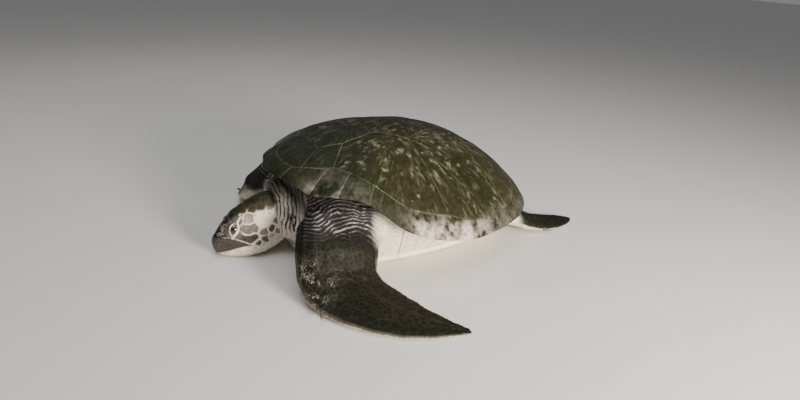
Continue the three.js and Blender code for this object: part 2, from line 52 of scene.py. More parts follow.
MM = 0.001
SIDES = (("left", 1), ("right", -1))  # each side, and the sign of its x
SHELL_HALF_WIDTH = 400
SHELL_FRONT = 432
SHELL_REAR = 541
SHELL_HEIGHT = 400
OUTLINE_POWER = (1.9, 1.95)
DOME_POWER = (1.75, 0.85)
EDGE_HEIGHT = [
    (0, 274), (20, 272), (30, 258), (40, 268), (52, 266), (61, 234), (70, 186),
    (80, 156), (92, 134), (105, 117), (125, 114), (150, 104), (180, 106),
]
MARGINAL_BORDER = [
    (0, 0.9), (13, 0.895), (24, 0.83), (31, 0.775), (40, 0.8), (55, 0.87), (72, 0.885),
    (94, 0.89), (106, 0.92), (122, 0.935), (138, 0.93), (155, 0.9), (180, 0.85),
]
RIM_DUST = [  # how dusty the rim is, by angle from the front
    (0, 0.0), (24, 0.05), (31, 0.36), (44, 0.24), (57, 0.05), (70, 0.12), (79, 0.9),
    (100, 0.92), (111, 0.5), (121, 0.22), (142, 0.08), (180, 0.05),
]
VERTEBRAL_CORNERS = [
    (-284, 52), (-214, 84), (-112, 70), (-8, 124), (96, 72), (204, 112), (290, 62),
    (396, 92),
]
VERTEBRAL_ENDS = (17, 171)
VERTEBRAL_SEAMS = (-284, -112, 96, 290)
COSTAL_SEAMS = [(-214, 31), (-8, 94), (204, 135)]
MARGINAL_SEAMS = [12, 29, 42, 55, 70, 84, 95, 106, 118, 131, 148, 165, 180]
MARGINAL_GROUPS = {"front": (0, 1), "bridge": (1, 8), "rear": (8, 12)}  # plates in each
PLATE_THICKNESS = 10
RIM_THICKNESS = 9
RIM_LIP = 3.5

PLASTRON_HALF_WIDTH = 250
PLASTRON_FRONT = 372
PLASTRON_REAR = 392
PLASTRON_THICKNESS = 26
PLASTRON_POWER = (3.2, 2.3)
PLASTRON_SEAMS = [(-310, 34), (-216, 14), (-72, -10), (84, 6), (214, 22), (306, 30)]
BRIDGE_ANGLES = (72, 118)
BRIDGE_THICKNESS = 9
FLANK_BULGE = [
    (0, -14), (14, -8), (28, 44), (50, 44), (66, 6), (72, 0), (120, 0), (150, 10),
    (180, 4),
]

HEAD_TIP = (0, -611, 36)
HEAD_PITCH = 10
HEAD_STATIONS = [  # back from the tip, top, bottom, half width
    (0, 12, -8, 8), (4, 22, -18, 15), (14, 35, -33, 24), (32, 52, -43, 37),
    (56, 71, -52, 50), (84, 89, -60, 62), (118, 104, -62, 70), (160, 117, -56, 75),
    (200, 122, -38, 73), (222, 117, -24, 66),
]
HEAD_LENGTH = HEAD_STATIONS[-1][0]
HEAD_POWER = (0.85, 0.68)  # roundness of the section, above and below
MOUTH_LINE = [(0, -24), (15, -21), (52, -10.5), (83, -4), (106, -5)]
MOUTH_END = 106
JAW_BAND = [(0, 38), (18, 34), (40, 30), (63, 24), (86, 11), (108, -5)]  # its upper edge
CROWN_EDGE = [(0, 60), (60, 52), (96, 34), (114, 25), (140, 32), (169, 39), (222, 36)]
UPPER_BEAK = [(50, 30), (92, 2)]  # slanting rear edge of the horn, as back and up
LOWER_BEAK = [(20, -34), (40, -24)]
EYE_RADIUS = 19
EYE_OPENING = (42.0, 15.0)
EYE_CENTRE = (72, 50, 31)
EYE_AXIS = (-0.26, 0.34, 0.9)
NECK_CENTRE = 132  # height of the neck's axis

SHOULDER = (150, -240, 150)  # middle of the left upper arm where it leaves the trunk
ELBOW = (382, -322, 28)
FOLD_CENTRE = (354, -298, 91)  # the shoulder's skin folds run round this line
FOLD_AXIS = (0.87, -0.20, 0.43)
FORE_LEADING = [  # plan of the left front paddle's edges
    (284, -437), (330, -448), (385, -444), (450, -420), (514, -378), (570, -326),
    (618, -262), (650, -186), (666, -112), (668, -80),
]
FORE_TRAILING = [
    (315, -188), (342, -204), (380, -200), (426, -184), (480, -164), (532, -142),
    (576, -120), (618, -98), (650, -78), (668, -80),
]

# Camera, from the shell's centre.
CAMERA_PLACE = (1607, -867, 906)
CAMERA_YAW, CAMERA_PITCH, CAMERA_ROLL = -60.19, 23.72, 4.1
CAMERA_LENS = 24.93

plastron_low, plastron_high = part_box("plastron")
SHELL_Y = (plastron_low.y + plastron_high.y) / 2 - (PLASTRON_REAR - PLASTRON_FRONT) / 2 * MM
SHELL_CENTRE = np.array([0, SHELL_Y, 0])


# ---- colours, linear -----------------------------------------------------------------

OLIVE = (0.013, 0.0145, 0.0045)
OLIVE_BROWN = (0.024, 0.020, 0.008)
MOSS = (0.007, 0.013, 0.002)
SLATE = (0.013, 0.013, 0.008)
STREAK = (0.17, 0.17, 0.10)
DARK_RAY = (0.008, 0.009, 0.004)
SEAM_TAN = (0.24, 0.22, 0.12)
DUST = (0.55, 0.46, 0.39)
SAND = (0.60, 0.52, 0.42)
CREAM = (0.78, 0.69, 0.504)
WHITE = (0.83, 0.772, 0.658)
SEAM_BROWN = (0.40, 0.33, 0.24)
SCUFF = (0.50, 0.42, 0.32)
STAIN = (0.44, 0.34, 0.23)
BLACK = (0.010, 0.009, 0.008)
PLUM = (0.026, 0.022, 0.023)
FOLD_LINE = (0.42, 0.36, 0.33)
FLIPPER = (0.0055, 0.0062, 0.0030)
FLIPPER_SCALE = (0.011, 0.0105, 0.006)
FLIPPER_JOINT = (0.027, 0.025, 0.016)
FLIPPER_RIM = (0.25, 0.22, 0.17)
CROWN = (0.030, 0.028, 0.010)
CROWN_JOINT = (0.13, 0.12, 0.07)
UMBER = (0.055, 0.039, 0.024)
SHIELD_TONES = ((0.045, 0.030, 0.021), (0.50, 0.42, 0.36))
LORE_TONES = ((0.024, 0.020, 0.013), (0.27, 0.24, 0.21))
LIP_TONES = ((0.024, 0.017, 0.012), (0.075, 0.058, 0.043))
LID_TONES = ((0.60, 0.50, 0.46), (0.86, 0.78, 0.74))
LID_SKIN = (0.20, 0.17, 0.14)
LID_CREASE_SHADE = (0.03, 0.022, 0.018)
CHEEK_SPOT = (0.13, 0.10, 0.08)
HOLLOW_SHADE = (0.006, 0.005, 0.004)
UPPER_BEAK_TONES = ((0.018, 0.013, 0.009), (0.062, 0.047, 0.034))
LOWER_BEAK_TONES = ((0.55, 0.47, 0.35), (0.80, 0.73, 0.60))
BEAK_SPECK = (0.38, 0.32, 0.24)
PUPIL = (0.004, 0.0035, 0.003)
IRIS = (0.035, 0.022, 0.010)
EYE_WHITE = (0.05, 0.035, 0.028)
CLAW_TONES = ((0.03, 0.024, 0.016), (0.16, 0.12, 0.075))
FLOOR_TONES = ((0.62, 0.60, 0.57), (0.66, 0.64, 0.61))


# ---- small tools ---------------------------------------------------------------------

ATTRIBUTE_KINDS = {  # by how many numbers each point has
    1: ("FLOAT", "value"), 3: ("FLOAT_VECTOR", "vector"), 4: ("FLOAT_COLOR", "color"),
}


def smooth(knots, x):
    """A smooth curve through (x, y) knots, the same as the CAD source's."""
    xs, ys = np.asarray(knots, float).T
    x = np.clip(np.asarray(x, float), xs[0], xs[-1])
    i = np.clip(np.searchsorted(xs, x, side="right") - 1, 0, len(xs) - 2)
    before = np.maximum(np.arange(len(xs)) - 1, 0)
    after = np.minimum(np.arange(len(xs)) + 1, len(xs) - 1)
    slope = (ys[after] - ys[before]) / (xs[after] - xs[before])
    step = xs[i + 1] - xs[i]
    t = (x - xs[i]) / step
    rise = t * t * (3 - 2 * t)
    bend = t * (1 - t) ** 2 * slope[i] + t * t * (t - 1) * slope[i + 1]
    return ys[i] + (ys[i + 1] - ys[i]) * rise + step * bend


def ramp(x, low, high):
    """0 at low, 1 at high, smooth between; low may be the larger."""
    t = np.clip((np.asarray(x, float) - low) / (high - low), 0, 1)
    return t * t * (3 - 2 * t)


def peak(x, width):
    """1 at zero, falling away smoothly on both sides."""
    return np.exp(-(x / width) ** 2)


def hashed(cell, seed):
    """A number from 0 to 1 for each whole-numbered cell of space."""
    h = (cell[..., 0] * 374761393 + cell[..., 1] * 668265263 + cell[..., 2] * 1440662683)
    h = (h + seed * 974634777) & 0xFFFFFFFF
    h = ((h ^ (h >> 13)) * 1274126177) & 0xFFFFFFFF
    return ((h ^ (h >> 16)) & 0xFFFF) / 65535


def noise(points, size, seed=0):
    """Smooth noise from -1 to 1 with lumps about size wide."""
    q = np.asarray(points, float) / size
    cell = np.floor(q).astype(np.int64)
    f = q - cell
    f = f * f * (3 - 2 * f)
    total = 0
    for corner in np.ndindex(2, 2, 2):
        weight = np.prod(np.where(np.array(corner) == 1, f, 1 - f), axis=-1)
        total = total + weight * hashed(cell + np.array(corner), seed)
    return total * 2 - 1


def cells(points, size, seed):
    """A mosaic: the distance in from each cell's edge, and a number for the cell."""
    q = np.asarray(points, float) / size
    base = np.floor(q).astype(np.int64)
    nearest = np.full(len(q), 9.0)
    second = np.full(len(q), 9.0)
    number = np.zeros(len(q))
    for offset in np.ndindex(3, 3, 3):
        cell = base + np.array(offset) - 1
        jitter = np.stack([hashed(cell, seed + k) for k in range(3)], -1)
        distance = np.linalg.norm(q - cell - 0.12 - 0.76 * jitter, axis=-1)
        closer = distance < nearest
        second = np.where(closer, nearest, np.minimum(second, distance))
        nearest = np.where(closer, distance, nearest)
        number = np.where(closer, hashed(cell, seed + 5), number)
    return (second - nearest) * size, number


def unit(v):
    return v / np.maximum(np.linalg.norm(v, axis=-1, keepdims=True), 1e-9)


def blend(a, b, amount):
    """Colours a to b; each is one colour or a row of them."""
    amount = np.clip(np.asarray(amount, float), 0, 1)[..., None]
    return np.asarray(a, float) * (1 - amount) + np.asarray(b, float) * amount


def folds(distance, period, sharp):
    """Rounded rolls with narrow creases between them: 0 in a crease, 1 on a roll."""
    return np.abs(np.sin(np.pi * distance / period)) ** sharp


def outward(points, faces):
    """The faces of a closed solid, all turned to face out."""
    by_size = {}
    for face in faces:
        by_size.setdefault(len(face), []).append(face)
    volume = 0.0
    for group in by_size.values():
        corners = points[np.array(group)]
        for k in range(1, corners.shape[1] - 1):
            cross = np.cross(corners[:, k], corners[:, k + 1])
            volume += np.einsum("ij,ij->", corners[:, 0], cross)
    return [face[::-1] for face in faces] if volume < 0 else faces


def add_attribute(mesh, name, values):
    """One value per point: a number, a vector, or a colour with its alpha."""
    values = np.asarray(values, np.float32)
    if name == "tone":
        values = np.column_stack([values, np.ones(len(values), np.float32)])
    kind, key = ATTRIBUTE_KINDS[values.size // len(values)]
    mesh.attributes.new(name, kind, "POINT").data.foreach_set(key, values.ravel())


def add_object(name, data):
    thing = bpy.data.objects.new(name, data)
    bpy.context.scene.collection.objects.link(thing)
    return thing


def piece(name, points, faces, paint, material, replaced):
    """A visible piece on the part's one body, standing for the replaced CAD nodes. Its
    points are in millimetres, and paint holds its attributes."""
    points = np.asarray(points, float)
    faces = outward(points, [tuple(int(i) for i in face) for face in faces])
    mesh = bpy.data.meshes.new(name)
    mesh.from_pydata((points * MM + SHELL_CENTRE).tolist(), [], faces)
    mesh.validate()
    for key, values in paint.items():
        add_attribute(mesh, key, values)
    mesh.polygons.foreach_set("use_smooth", np.ones(len(mesh.polygons), bool))
    mesh.materials.append(material)
    thing = add_object(name, mesh)
    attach(thing, "root")
    if replaced:
        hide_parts(*replaced)


def grid_faces(rows, columns, wrap=False):
    """Quads over a grid of points numbered row by row."""
    across = np.arange(columns if wrap else columns - 1)
    i, j = np.meshgrid(np.arange(rows - 1), across, indexing="ij")
    k = (j + 1) % columns
    quads = [i * columns + j, i * columns + k, (i + 1) * columns + k, (i + 1) * columns + j]
    return np.stack(quads, -1).reshape(-1, 4).tolist()


def capped_tube(rows, columns):
    """Faces of a grid closed round, with a point for each end numbered after it."""
    faces = grid_faces(rows, columns, wrap=True)
    start, end = rows * columns, rows * columns + 1
    last = (rows - 1) * columns
    for j in range(columns):
        k = (j + 1) % columns
        faces.append((start, k, j))
        faces.append((end, last + j, last + k))
    return faces


def slab(top, bottom):
    """Points and faces of the closed solid between two grids of points."""
    rows, columns = top.shape[:2]
    count = rows * columns
    faces = grid_faces(rows, columns)
    faces += [tuple(i + count for i in face[::-1]) for face in faces]
    index = np.arange(count).reshape(rows, columns)
    loop = np.concatenate([index[0, :-1], index[:-1, -1], index[-1, :0:-1], index[:0:-1, 0]])
    ahead = np.roll(loop, -1)
    faces += np.stack([ahead, loop, loop + count, ahead + count], -1).tolist()
    return np.concatenate([top.reshape(-1, 3), bottom.reshape(-1, 3)]), faces


def grid_normals(points):
    along, across = np.gradient(points, axis=0), np.gradient(points, axis=1)
    return unit(np.cross(along, across))


# ---- the shell's form ----------------------------------------------------------------

def outline_radius(degrees, half_width, front, rear, powers):
    forward = np.cos(np.radians(degrees))
    side = np.abs(np.sin(np.radians(degrees)))
    length = np.where(forward > 0, front, rear)
    power = np.where(forward > 0, powers[0], powers[1])
    return ((np.abs(forward) / length) ** power + (side / half_width) ** power) ** (-1 / power)


def edge_radius(degrees):
    return outline_radius(degrees, SHELL_HALF_WIDTH, SHELL_FRONT, SHELL_REAR, OUTLINE_POWER)


def plastron_radius(degrees):
    return outline_radius(
        degrees, PLASTRON_HALF_WIDTH, PLASTRON_FRONT, PLASTRON_REAR, PLASTRON_POWER
    )


def folded(degrees):
    """The same angle on the left side, from 0 at the front to 180."""
    turned = np.abs(np.asarray(degrees, float)) % 360
    return np.where(turned > 180, 360 - turned, turned)


def plan(degrees, radius):
    angle = np.radians(degrees)
    return np.stack([radius * np.sin(angle), -radius * np.cos(angle)], -1)


def polar(xy):
    """Angle from the front, and distance as a fraction of the shell's edge."""
    degrees = np.degrees(np.arctan2(xy[..., 0], -xy[..., 1]))
    return degrees, np.hypot(xy[..., 0], xy[..., 1]) / edge_radius(degrees)


def shell_top(degrees, fraction):
    """Points of the dome's outer surface."""
    degrees, fraction = np.broadcast_arrays(
        np.asarray(degrees, float), np.asarray(fraction, float)
    )
    edge = smooth(EDGE_HEIGHT, folded(degrees))
    rise = np.clip(1 - fraction ** DOME_POWER[0], 0, 1) ** DOME_POWER[1]
    xy = plan(degrees, edge_radius(degrees) * fraction)
    return np.concatenate([xy, (edge + (SHELL_HEIGHT - edge) * rise)[..., None]], -1)


def shell_normal(degrees, fraction):
    inner = np.clip(fraction, 0.012, 0.985)
    along = shell_top(degrees, inner + 0.01) - shell_top(degrees, inner - 0.01)
    around = shell_top(degrees + 1, inner) - shell_top(degrees - 1, inner)
    normal = unit(np.cross(around, along))
    return np.where(normal[..., 2:] < 0, -normal, normal)


def border(degrees):
    """The marginals' inner border, in plan."""
    return plan(degrees, edge_radius(degrees) * smooth(MARGINAL_BORDER, folded(degrees)))


def flank(degrees, fraction):
    """The wall from under the shell's edge (0) down to the plastron (1)."""
    under_edge = np.full(np.shape(degrees), 0.94)
    top = shell_top(degrees, under_edge) - shell_normal(degrees, under_edge) * 22
    top_radius = np.hypot(top[..., 0], top[..., 1]) - 6
    bulge = smooth(FLANK_BULGE, folded(degrees)) * np.sin(np.pi * fraction)
    bottom = plastron_radius(degrees) - 1
    radius = top_radius * (1 - fraction) + bottom * fraction + bulge
    height = top[..., 2] * (1 - fraction) + PLASTRON_THICKNESS * fraction
    return np.concatenate([plan(degrees, radius), height[..., None]], -1)


# ---- carapace plates -----------------------------------------------------------------

GRID_STEP = 3.3
EDGE_STEPS = np.array([0, 0.5, 1.2, 2.1, 3.4, 5.2])  # finer lines beside each seam
SEAM_DEPTH = 1.7
SEAM_WIDTH = 1.4
RIM_REACH = 60  # nominal depth of the rim's upper side, for its growth lines

# For each pair of costal plates: where its streaks start, how strong they are, and how
# strong the pale blotches among them are.
COSTAL_MARKS = [
    ((60, -190), 0.2, 0.0), ((118, -40), 0.7, 1.0), ((118, -40), 1.0, 0.8),
    ((96, 170), 0.8, 0.2),
]


def spaced(length):
    """Positions from 0 to 1 along a side, closer together near both ends."""
    ends = EDGE_STEPS * min(1, length / 30)
    middle = np.linspace(ends[-1], length - ends[-1], max(int(length / GRID_STEP), 3))
    return np.concatenate([ends[:-1], middle, (length - ends[:-1])[::-1]]) / length


def side_length(line):
    return np.linalg.norm(np.diff(line, axis=0), axis=1).sum()


def sample(line, places):
    """Points at places (0 to 1) along a line, keeping the line's own corners."""
    runs = np.concatenate([[0], np.cumsum(np.linalg.norm(np.diff(line, axis=0), axis=1))])
    if runs[-1] == 0:
        return np.repeat(line[:1], len(places), axis=0)
    runs /= runs[-1]
    places = np.array(places, float)
    for corner in runs[1:-1] if len(line) < 6 else []:
        places[np.abs(places - corner).argmin()] = corner
    return np.stack([np.interp(places, runs, line[:, k]) for k in range(2)], -1)


def coons(front, rear, inner, outer):
    """A grid of plan points over the patch between four lines."""
    across = spaced(max(side_length(front), side_length(rear), 20))
    along = spaced(max(side_length(inner), side_length(outer)))
    f, r = sample(front, across)[:, None], sample(rear, across)[:, None]
    i, o = sample(inner, along)[None], sample(outer, along)[None]
    u, v = across[:, None, None], along[None, :, None]
    corners = (1 - u) * (1 - v) * i[:, :1] + (1 - u) * v * i[:, -1:]
    corners = corners + u * (1 - v) * o[:, :1] + u * v * o[:, -1:]
    return (1 - v) * f + v * r + (1 - u) * i + u * o - corners


def seam_distance(points):
    """Distance of each grid point from the grid's own four sides."""
    def nearest_end(axis):
        steps = np.linalg.norm(np.diff(points, axis=axis), axis=-1)
        first = np.zeros_like(np.take(steps, [0], axis=axis))
        run = np.concatenate([first, np.cumsum(steps, axis=axis)], axis=axis)
        return np.minimum(run, run.max(axis=axis, keepdims=True) - run)
    return np.minimum(nearest_end(0), nearest_end(1))


def shell_paint(points, distance, mark, dust):
    """Attributes for shell plates: colour, the streaks' own coordinates and masks."""
    x, y, z = points.T
    brown = 0.5 + 0.6 * noise(points, 95, 3) + 0.25 * noise(points, 30, 4)
    tone = blend(OLIVE, OLIVE_BROWN, brown)
    # Painted shade: the plates turn darker and greener towards the front.
    front = ramp(y, -60, -230)
    tone = blend(tone, MOSS, front * (0.6 + 0.4 * noise(points, 70, 5)))
    crest = ramp(np.abs(x), 150, 60) * ramp(z, 300, 360)
    tone = blend(tone, SLATE, crest * 0.7)
    tone = tone * (1 + 0.22 * noise(points, 14, 6) + 0.16 * noise(points, 6, 7))[:, None]
    worn = (0.42 + 0.4 * noise(points, 26, 8)) * (0.45 + 0.55 * ramp(y, 20, -120))
    tone = blend(tone, SEAM_TAN, peak(distance, 1.5) * worn)
    patches = 0.6 + 0.9 * noise(points, 30, 9) + 0.5 * noise(points, 9, 10)
    dusty = dust * np.clip(patches, 0, 1)
    tone = blend(tone, DUST, dusty)
    areola, number, ray, blotch = mark
    local = np.stack([x - areola[0], y - areola[1], np.full(len(x), number * 37.0)], -1)
    masks = np.stack([np.full(len(x), ray), np.full(len(x), blotch), dusty], -1)
    return {"tone": tone, "areola": local, "masks": masks}


def plate(name, plan_grid, mark, material):
    """One plate of the dome: a crowned slab over a plan grid, with rolled edges."""
    degrees, fraction = polar(plan_grid)
    surface, normal = shell_top(degrees, fraction), shell_normal(degrees, fraction)
    distance = seam_distance(surface)
    flat = surface.reshape(-1, 3)
    lumps = noise(flat, 38, 20).reshape(distance.shape)
    grain = noise(flat, 11, 21).reshape(distance.shape)
    relief = 1.6 * ramp(distance, 0, 46) - SEAM_DEPTH * np.exp(-distance / SEAM_WIDTH)
    growth = np.sin(distance / 1.15 + 2 * lumps) * ramp(distance, 46, 14)
    relief += 0.30 * growth * ramp(distance, 2, 8)
    relief += 0.7 * lumps * ramp(distance, 4, 30) + 0.18 * grain
    points, faces = slab(surface + normal * relief[..., None], surface - normal * PLATE_THICKNESS)
    dust = 0.12 * ramp(flat[:, 2], 190, 150) * ramp(flat[:, 1], -80, 60)
    paint = shell_paint(flat, distance.ravel(), mark, dust)
    paint = {key: np.concatenate([values, values]) for key, values in paint.items()}
    piece(f"{name}_horn", points, faces, paint, material, [name])


def rim_section(inner):
    """The rim's cross-section, from its inner border over the edge and back below. For
    each point: fraction of the radius, depth, push outward, distance in, and whether it
    is above."""
    section = [(inner + (1 - inner) * t, 0.0, 0.0, t * RIM_REACH, True) for t in spaced(60)]
    for angle in np.radians(np.linspace(90, -90, 9))[1:-1]:
        depth = RIM_THICKNESS / 2 * (1 - math.sin(angle))
        push = RIM_LIP * math.cos(angle)
        section.append((np.ones_like(inner), depth, push, RIM_REACH + 2, True))
    for t in np.linspace(0, 1, 12)[1:]:
        depth = RIM_THICKNESS + (PLATE_THICKNESS + 4 - RIM_THICKNESS) * t
        section.append((1 - (1 - inner) * t, depth, 0.0, 0.0, False))
    return section


def rim_relief(points, distance):
    """How far the rim's horn stands out: crowned, with seams and growth lines."""
    lumps = noise(points, 34, 22)
    relief = 1.2 * ramp(distance, 0, 22) - SEAM_DEPTH * np.exp(-distance / SEAM_WIDTH)
    growth = np.sin(distance / 1.1 + 2 * lumps) * ramp(distance, 2, 7)
    return relief + 0.6 * lumps + 0.25 * growth


def marginal(name, start, end, number, material, replaced):
    """One plate of the rim between two angles: a closed strip round the shell's edge."""
    middle = np.radians((start + end) / 2)
    span = abs(math.radians(end - start)) * float(edge_radius(math.degrees(middle)))
    degrees = start + (end - start) * spaced(span)
    from_end = np.minimum(np.abs(degrees - degrees[0]), np.abs(degrees - degrees[-1]))
    from_end = np.radians(from_end) * edge_radius(degrees)
    notch = 2.2 * peak(from_end, 5)
    points, distances, below = [], [], []
    for fraction, depth, push, into, above in rim_section(smooth(MARGINAL_BORDER, folded(degrees))):
        base = shell_top(degrees, fraction)
        distance = np.minimum(from_end, into if above else RIM_REACH)
        relief = rim_relief(base, distance) * (1.0 if above else -0.5)
        sideways = np.zeros_like(base)
        sideways[:, :2] = plan(degrees, push - notch * ramp(fraction, 0.93, 1))
        raised = shell_normal(degrees, fraction) * (relief - depth)[:, None]
        points.append(base + raised + sideways)
        distances.append(distance)
        below.append(not above)
    points, distances = np.stack(points, 1), np.stack(distances, 1)
    rows, columns = distances.shape
    flat = np.concatenate([points.reshape(-1, 3), points[[0, -1]].mean(axis=1)])
    around, out = polar(flat[:, :2])
    dust = smooth(RIM_DUST, folded(around)) * (0.25 + 0.75 * ramp(out, 0.905, 0.97))
    mark = (plan((start + end) / 2, 300), number, 0.2, 0.0)
    paint = shell_paint(flat, np.append(distances.ravel(), [9, 9]), mark, dust)
    underside = np.concatenate([np.tile(below, rows), [False, False]])
    paint["tone"] = blend(paint["tone"], CREAM, underside * 0.85)
    piece(name, flat, capped_tube(rows, columns), paint, material, replaced)


def mirrored(line):
    return line * [-1, 1]


def arc(start, end):
    return border(np.linspace(start, end, 40))


def inner_side(front, rear, front_end=None, rear_end=None):
    """The line through the vertebral corners between two seams, on the left, ending on
    the marginals' border at the angles given."""
    line = [(half, y) for y, half in VERTEBRAL_CORNERS if front <= y <= rear]
    if front_end is not None:
        line = [border(front_end), *line]
    if rear_end is not None:
        line = [*line, border(rear_end)]
    return np.array(line, float)


def build_vertebrals(material):
    front_end, rear_end = VERTEBRAL_ENDS
    ends = [-SHELL_FRONT, *VERTEBRAL_SEAMS, SHELL_REAR]
    for i, (front, rear) in enumerate(zip(ends, ends[1:])):
        first, last = i == 0, i == len(VERTEBRAL_SEAMS)
        left = inner_side(front, rear, front_end if first else None, rear_end if last else None)
        right = mirrored(left)
        front_line = arc(-front_end, front_end) if first else np.array([right[0], left[0]])
        rear_line = arc(360 - rear_end, rear_end) if last else np.array([right[-1], left[-1]])
        grid = coons(front_line, rear_line, right, left)
        ray = 0.45 if 0 < i < 4 else 0.25
        mark = ((0, left[-1, 1] - 40), i + 1, ray, 0.3 if i == 2 else 0.0)
        plate(f"vertebral_plate_{i + 1}", grid, mark, material)


def build_costals(material):
    front_end, rear_end = VERTEBRAL_ENDS
    seams = [(-SHELL_FRONT, front_end), *COSTAL_SEAMS, (SHELL_REAR, rear_end)]
    for i, ((front, front_angle), (rear, rear_angle)) in enumerate(zip(seams, seams[1:])):
        inner = inner_side(
            front, rear, front_angle if i == 0 else None, rear_angle if i == 3 else None
        )
        outer = arc(front_angle, rear_angle)
        for side, sign in SIDES:
            number = i + (10 if sign > 0 else 20)
            a, b = inner * [sign, 1], outer * [sign, 1]
            grid = coons(np.array([a[0], b[0]]), np.array([a[-1], b[-1]]), a, b)
            (x, y), ray, blotch = COSTAL_MARKS[i]
            mark = ((x * sign, y), number, ray, blotch)
            plate(f"costal_plate_{side}_{i + 1}", grid, mark, material)


def build_marginals(material):
    for side, sign in SIDES:
        for group, (first, last) in MARGINAL_GROUPS.items():
            for k in range(first, last):
                replaced = [f"marginal_plates_{group}_{side}"] if k == first else []
                start, end = MARGINAL_SEAMS[k] * sign, MARGINAL_SEAMS[k + 1] * sign
                marginal(f"marginal_{side}_{k + 1}", start, end, k + 1, material, replaced)
    half = MARGINAL_SEAMS[0]
    marginal("nuchal_horn", -half, half, 0, material, ["nuchal_plate"])


def build_carapace(material):
    build_vertebrals(material)
    build_costals(material)
    build_marginals(material)


# ---- plastron and bridges ------------------------------------------------------------

# Half of the plastron's cross-section: fraction of the radius, and height.
PLASTRON_FLAT = [(fraction, 0.0) for fraction in np.linspace(0.012, 0.93, 80)]
PLASTRON_EDGE = [
    (0.955, 0.9), (0.972, 2.8), (0.985, 6.0), (0.994, 10.5), (1.0, 15.6), (0.996, 20.0),
    (0.985, 23.4), (0.97, PLASTRON_THICKNESS), (0.6, PLASTRON_THICKNESS),
    (0.05, PLASTRON_THICKNESS),
]
BRIDGE_SEAMS = (82, 94, 106)  # degrees from the front


def cream_paint(points, groove):
    """Attributes for the pale horn of the underside: cream, greyer in its seams."""
    tone = blend(CREAM, WHITE, 0.6 + 0.5 * noise(points, 80, 30))
    tone = tone * (1 + 0.05 * noise(points, 16, 31))[:, None]
    tone = blend(tone, SEAM_BROWN, groove * 0.35)
    scuff = ramp(noise(points, 55, 32) + 0.4 * noise(points, 12, 33), 0.35, 1.0)
    return {"tone": blend(tone, SCUFF, scuff * 0.35)}


def build_plastron(material):
    degrees = np.linspace(0, 360, 480, endpoint=False)
    profile = np.array(PLASTRON_FLAT + PLASTRON_EDGE)
    xy = plan(degrees, plastron_radius(degrees) * profile[:, :1])
    x, y = xy[..., 0], xy[..., 1]
    height = profile[:, 1:] + 0 * degrees
    lines = [np.abs(x + 2.5 * np.sin(y / 60))]
    for middle, slant in PLASTRON_SEAMS:
        lines.append(np.abs(y - middle - slant * (np.abs(x) / PLASTRON_HALF_WIDTH) ** 1.5))
    groove = peak(np.min(lines, axis=0), 2.6)
    points = np.concatenate([xy, height[..., None]], -1)
    normal = -grid_normals(points)
    normal[:len(PLASTRON_FLAT)] = (0, 0, -1)
    outside = np.arange(len(profile))[:, None] < len(profile) - 2
    points = points - normal * (groove * 1.8 * outside)[..., None]
    rows, columns = groove.shape
    faces = grid_faces(rows, columns, wrap=True)
    faces.append(list(range(columns))[::-1])
    faces.append(list(range((rows - 1) * columns, rows * columns)))
    flat = points.reshape(-1, 3)
    paint = cream_paint(flat, groove.ravel())
    piece("plastron_horn", flat, faces, paint, material, ["plastron"])


def build_bridges(material):
    along, across = np.linspace(*BRIDGE_ANGLES, 150), np.linspace(0.045, 1.0, 50)
    degrees, fraction = np.meshgrid(along, across, indexing="ij")
    surface = flank(degrees, fraction)
    normal = grid_normals(surface)
    normal *= np.sign((normal[..., :2] * surface[..., :2]).sum(-1, keepdims=True))
    edge = seam_distance(surface)
    lines = [np.abs(degrees - seam) * 3.6 for seam in BRIDGE_SEAMS]
    lines.append(np.abs(fraction - 0.52) * 110)
    groove = peak(np.min(lines, axis=0), 2.4)
    relief = 2.4 * ramp(edge, 0, 30) - 1.8 * groove - 1.5 * np.exp(-edge / 1.5) + 1.0
    relief += 0.8 * noise(surface, 45, 35)
    left, faces = slab(surface + normal * relief[..., None], surface - normal * BRIDGE_THICKNESS)
    for side, sign in SIDES:
        points = left * [sign, 1, 1]
        paint = cream_paint(points, np.tile(groove.ravel(), 2))
        node = f"bridge_{side}"
        piece(f"{node}_horn", points, faces, paint, material, [node])


# ---- the skin of trunk, neck, limbs and tail -----------------------------------------

LIMB_PARTS = ("upper_arm", "front_flipper", "thigh", "hind_flipper")
FLESH = ["trunk", "neck", "tail"]
FLESH += [f"{part}_{side}" for part in LIMB_PARTS for side in ("left", "right")]
SWELL = 0.8  # the flesh nodes grow by this, so that they join
VOXEL = 5.0
LEAD_SCALES = 0.24  # how far back the large scales reach on the front paddle


def welded_flesh():
    """One closed surface round all the flesh nodes."""
    whole = bmesh.new()
    for node in FLESH:
        part = bmesh.new()
        part.from_mesh(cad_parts[node].data)
        bmesh.ops.remove_doubles(part, verts=part.verts, dist=1e-5)
        part.normal_update()
        for vertex in part.verts:
            vertex.co += vertex.normal * SWELL * MM
        copy = bpy.data.meshes.new(node)
        part.to_mesh(copy)
        whole.from_mesh(copy)
        bpy.data.meshes.remove(copy)
        part.free()
    mesh = bpy.data.meshes.new("flesh")
    whole.to_mesh(mesh)
    whole.free()
    body = add_object("flesh", mesh)
    remesh = body.modifiers.new("weld", "REMESH")
    remesh.mode = "VOXEL"
    remesh.voxel_size = VOXEL * MM
    graph = bpy.context.evaluated_depsgraph_get()
    solid = bpy.data.meshes.new_from_object(body.evaluated_get(graph))
    bpy.data.objects.remove(body)
    return solid


def numbers(collection, key, width, kind=float):
    """One property of every item in a mesh's collection, as an array."""
    values = np.zeros(len(collection) * width, kind)
    collection.foreach_get(key, values)
    return values.reshape(-1, width)


